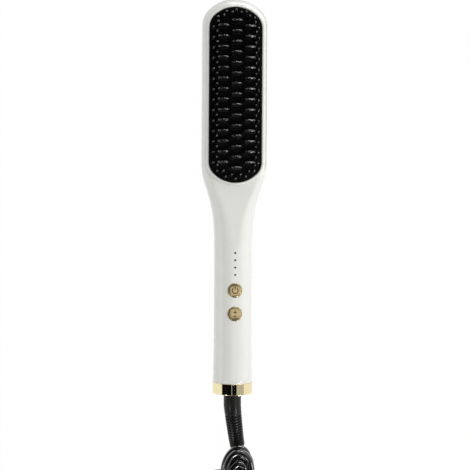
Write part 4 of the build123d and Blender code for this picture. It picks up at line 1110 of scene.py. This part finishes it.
fin_heights = [FIN_FOOT, 28.0, FIN_SHOULDER, 33.7, 34.3, 34.75, 35.1, 35.3, 35.39]
fin_places = [(0, FIN_LOW + FIN_PITCH * row, 0) for row in range(CENTRE_FINS)]
bm = repeat(loft_rows([fin_row(z) for z in fin_heights]), fin_places)
for side in (-1, 1):
    blade = loft_rows([fin_row(z, side * CREST_FALL) for z in fin_heights])
    places = [(side * SIDE_FIN_X, FIN_LOW + FIN_PITCH * (row + 0.5), 0) for row in range(SIDE_FINS)]
    join(bm, repeat(blade, places))
finish_piece(bm, "heated_fins", "brush", "black_coated_fins", ["heating_fins"], 70)

# %% [markdown]
# Two staggered rings of guard pins stand round the fins and keep the hot metal off the skin. They
# are moulded with the comb: slim cones with a ball end, shorter in the outer ring.

# %% Guard pins
COMB_TOP = 24.2
PIN_OUTER_INSET, PIN_INNER_INSET = 3.1, 5.3
PIN_OUTER_TIP, PIN_INNER_TIP = 29.5, 32.5
PIN_ROOT, PIN_END = 1.05, 0.75
END_STEPS = 5


def end_place(step, inset):
    """A place near the middle of the comb's far end: steps along the end, and an inset."""
    middle = (PIN_OUTER_INSET + PIN_INNER_INSET) / 2
    half_width, depth = OPENING_HALF_WIDTH - middle, OPENING_DEPTH - middle
    corner = OPENING_CORNER - middle
    crown, turn = end_arcs(half_width, depth, corner)
    crown_half = crown * (pi / 2 - turn)
    row_rise = asin((FIN_LOW + FIN_PITCH * (CENTRE_FINS - 1) - OPENING_HIGH + OPENING_DEPTH) / corner)
    distance = (crown_half + corner * (turn - row_rise)) * step / END_STEPS
    if distance <= crown_half:
        angle = pi / 2 - distance / crown
        centre, radius = (0, OPENING_HIGH - middle - crown), crown
    else:
        angle = turn - (distance - crown_half) / corner
        centre, radius = (half_width - corner, OPENING_HIGH - middle - depth), corner
    reach = radius + middle - inset
    return centre[0] + reach * cos(angle), centre[1] + reach * sin(angle)


def pin_places(inner):
    """Places of the inner or the outer ring of guard pins."""
    inset = PIN_INNER_INSET if inner else PIN_OUTER_INSET
    ends = OPENING_LOW + OPENING_HIGH
    places = []
    for row in range(1, 2 * CENTRE_FINS - 2):
        if (row % 2 == 0) == inner:
            y = FIN_LOW + FIN_PITCH / 2 * row
            places += [(side * (OPENING_HALF_WIDTH - inset), y, 0) for side in (-1, 1)]
    for step in range(END_STEPS + 1):
        if (step % 2 == 1) == inner:
            x, y = end_place(step, inset)
            sides = (-1, 1) if step else (1,)
            places += [(side * x, end_y, 0) for end_y in (y, ends - y) for side in sides]
    return places


def pin_shape(tip):
    """A slim cone with a ball end."""
    profile = [(PIN_ROOT + 0.25, COMB_TOP - 0.1), (PIN_ROOT, COMB_TOP + 0.25)]
    profile += arc_points((0, tip - PIN_END), PIN_END, 0, 90, 4)
    return lathe([Vector((radius, 0, z)) for radius, z in profile], (0, 0, 0), Z_AXIS, steps=12)


bm = repeat(pin_shape(PIN_OUTER_TIP), pin_places(inner=False))
join(bm, repeat(pin_shape(PIN_INNER_TIP), pin_places(inner=True)))
finish_piece(bm, "guard_pin_rings", "brush", "black_comb", ["guard_pins"], 60, [pin_pbt])

# %% [markdown]
# The boot keeps the cord from kinking where it leaves the handle. It starts as a smooth straight
# collar, then bends down to the table and slims towards its tip, with four columns of slots that
# let the soft plastic flex. Rings of points follow the bent line, two of them close together at
# each row of slots, and the faces between those are pushed in towards the middle.

# %% Boot
BOOT_RADII = [(0.0, 6.3), (0.25, 6.05), (0.5, 5.8), (0.75, 5.6), (1.0, 5.45)]
SLOT_ROWS, SLOT_WIDTH, SLOT_DEPTH, SLOT_REACH = 13, 0.95, 1.1, 6.9
SLOT_FIRST, SLOT_LAST = 0.22, 0.94
BOOT_AROUND, BOOT_EDGE = 64, 0.14
square = lean.cross(-Y_AXIS)


def boot_ring(centre, heading, radius):
    """A ring of points round the boot's line."""
    other = heading.cross(square)
    turns = [2 * pi * step / BOOT_AROUND for step in range(BOOT_AROUND)]
    return [centre + (square * cos(turn) + other * sin(turn)) * radius for turn in turns]


boot_rows, boot_middles, slot_levels = [], [], []


def add_ring(centre, heading, radius):
    """The boot's next ring, kept with its middle."""
    boot_middles.append(centre)
    boot_rows.append(boot_ring(centre, heading, radius))


def add_bent_ring(share):
    """The next ring on the boot's bend."""
    add_ring(boot_point(share), boot_heading(share), eased(BOOT_RADII, share)[0])


for y in (BOOT_START, -141.3, -144.5, -147.5):
    add_ring(Vector((0, y, AXIS_HEIGHT)), -Y_AXIS, BOOT_RADII[0][1])
slot_half = SLOT_WIDTH / 2 / (bend_radius * bend_turn)
for share in (0.0, 0.07, 0.14):
    add_bent_ring(share)
for row in range(SLOT_ROWS):
    middle = SLOT_FIRST + (SLOT_LAST - SLOT_FIRST) * row / (SLOT_ROWS - 1)
    slot_levels.append(len(boot_rows))
    add_bent_ring(middle - slot_half)
    add_bent_ring(middle + slot_half)
for share, shrink in ((0.985, 0.0), (0.996, 0.15), (1.0, 0.6)):
    add_ring(boot_point(share), boot_heading(share), BOOT_RADII[-1][1] - shrink)

bm = loft_rows(boot_rows)
place, level = bm.verts.layers.int["place"], bm.verts.layers.int["level"]
slot_faces = []
for face in bm.faces:
    if len(face.verts) != 4 or min(vert[level] for vert in face.verts) not in slot_levels:
        continue
    if max(vert[level] for vert in face.verts) == min(vert[level] for vert in face.verts) + 1:
        turns = sorted(vert[place] for vert in face.verts)
        turn = (turns[0] + turns[-1]) / 2 if turns[-1] - turns[0] < BOOT_AROUND / 2 else 0
        off = (turn - BOOT_AROUND / 8) % (BOOT_AROUND / 4)
        if min(off, BOOT_AROUND / 4 - off) < SLOT_REACH:
            slot_faces.append(face)
made = bmesh.ops.extrude_face_region(bm, geom=slot_faces)["geom"]
for vert in verts_of(made):
    centre = boot_middles[vert[level]]
    outward = vert.co - centre
    vert.co = centre + outward * (1 - SLOT_DEPTH / outward.length)
bmesh.ops.delete(bm, geom=slot_faces, context="FACES_ONLY")
held = hold(bm, "boot")
break_edges(held, BOOT_EDGE, limit=40)
finish_piece(settle(held), "slotted_boot", "cord_swivel", "black_boot", ["strain_relief"], 45)

# %% [markdown]
# The plug is moulded over its pins in one piece: slim where the cord goes in, and wider towards the
# pins, with shallow ribs across its sides for the fingers. Its sections change smoothly, and its
# front edge is rounded, so that it looks pressed in a mould and not cut from a block.

# %% Plug
PLUG_SECTIONS = [
    (0.0, 8.0, 8.0, 3.6),
    (13.0, 9.5, 9.5, 4.0),
    (17.0, 17.0, 11.0, 4.0),
    (27.0, 26.0, 13.0, 5.0),
    (36.0, 33.0, 13.7, 5.5),
    (46.0, 35.0, 13.7, 5.5),
]
PLUG_LENGTH, PLUG_WIDTH, PLUG_THICKNESS = PLUG_SECTIONS[-1][:3]
GRIP_START, GRIP_PITCH, GRIP_RIBS, GRIP_DEPTH = 18.0, 1.8, 9, 0.35


def plug_row(along, shrink=0.0):
    """A rounded oblong section of the plug."""
    width, height, corner = eased(PLUG_SECTIONS, along)
    width, height = min(width, PLUG_WIDTH) / 2 - shrink, min(height, PLUG_THICKNESS) / 2 - shrink
    corner = min(corner, width - 0.2, height - 0.2)
    ribs = (along - GRIP_START) / GRIP_PITCH
    grip = GRIP_DEPTH * sin(ribs * pi) ** 2 if 0 <= ribs <= GRIP_RIBS else 0.0
    points = []
    for quarter, (across, up) in enumerate(((1, 1), (-1, 1), (-1, -1), (1, -1))):
        for step in range(9):
            turn = pi / 2 * (quarter + step / 8)
            x = PLUG_X + across * (width - grip - corner) + corner * cos(turn)
            z = PLUG_HEIGHT + up * (height - corner) + corner * sin(turn)
            points.append(Vector((x, PLUG_START - along, z)))
    return points


plug_rows = [plug_row(0.0, 0.6), plug_row(0.15, 0.2), plug_row(0.6)]
plug_rows += [plug_row(1.0 + 0.45 * step) for step in range(99)]
plug_rows += [plug_row(PLUG_LENGTH - 0.25, 0.25), plug_row(PLUG_LENGTH, 0.9)]
bm = loft_rows(plug_rows)
finish_piece(bm, "moulded_plug", "cord_swivel", "plug_plastic", ["plug_body"], 50)

# %% Plug pins
PIN_SPACING, PIN_RADIUS, PIN_LENGTH, PIN_ROUND = 18.6, 2.0, 19.0, 1.2
PLUG_FACE = PLUG_START - PLUG_LENGTH

PIN_FLAT, PIN_STRAIGHT = PIN_RADIUS - PIN_ROUND, PIN_LENGTH - PIN_ROUND
pin_profile = [(0.0, 0.0), (PIN_RADIUS, 0.0), (PIN_RADIUS, PIN_STRAIGHT)]
for turn in (22, 45, 67, 90):
    outward, onward = PIN_ROUND * cos(radians(turn)), PIN_ROUND * sin(radians(turn))
    pin_profile.append((PIN_FLAT + outward, PIN_STRAIGHT + onward))
pin_profile.append((0.0, PIN_LENGTH))
points = [Vector((radius, -along, 0)) for radius, along in pin_profile]
sides = [(PLUG_X + side * PIN_SPACING / 2, PLUG_FACE, PLUG_HEIGHT) for side in (-1, 1)]
bm = repeat(lathe(points, (0, 0, 0), Y_AXIS, steps=40), sides)
finish_piece(bm, "contact_pins", "cord_swivel", "nickel_pins", ["plug_pins"], 50)

# %% [markdown]
# The cord itself is a curve with a round bevel, the closest thing to an extruded sleeve. Its spline
# is quadratic, so each point of the route pulls a soft bend and none of the bends looks broken.

# %% Cord
cord_data = bpy.data.curves.new("cord", "CURVE")
cord_data.dimensions = "3D"
cord_data.bevel_depth = CORD / 2 * MM
cord_data.bevel_resolution = 6
cord_data.resolution_u = 12
cord_data.use_fill_caps = True
line = cord_data.splines.new("NURBS")
line.points.add(len(cord_route) - 1)
for point, place in zip(line.points, cord_route):
    point.co = (*place, 1.0)
line.order_u = 3
line.use_endpoint_u = True
cord_data.materials.append(cord_pvc)
cord = bpy.data.objects.new("mains_cord", cord_data)
scene.collection.objects.link(cord)
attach(cord, "cord_swivel")
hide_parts("cord_lead", "cord_hank", "cord_tail")
print("cord drawn through", len(line.points), "points")
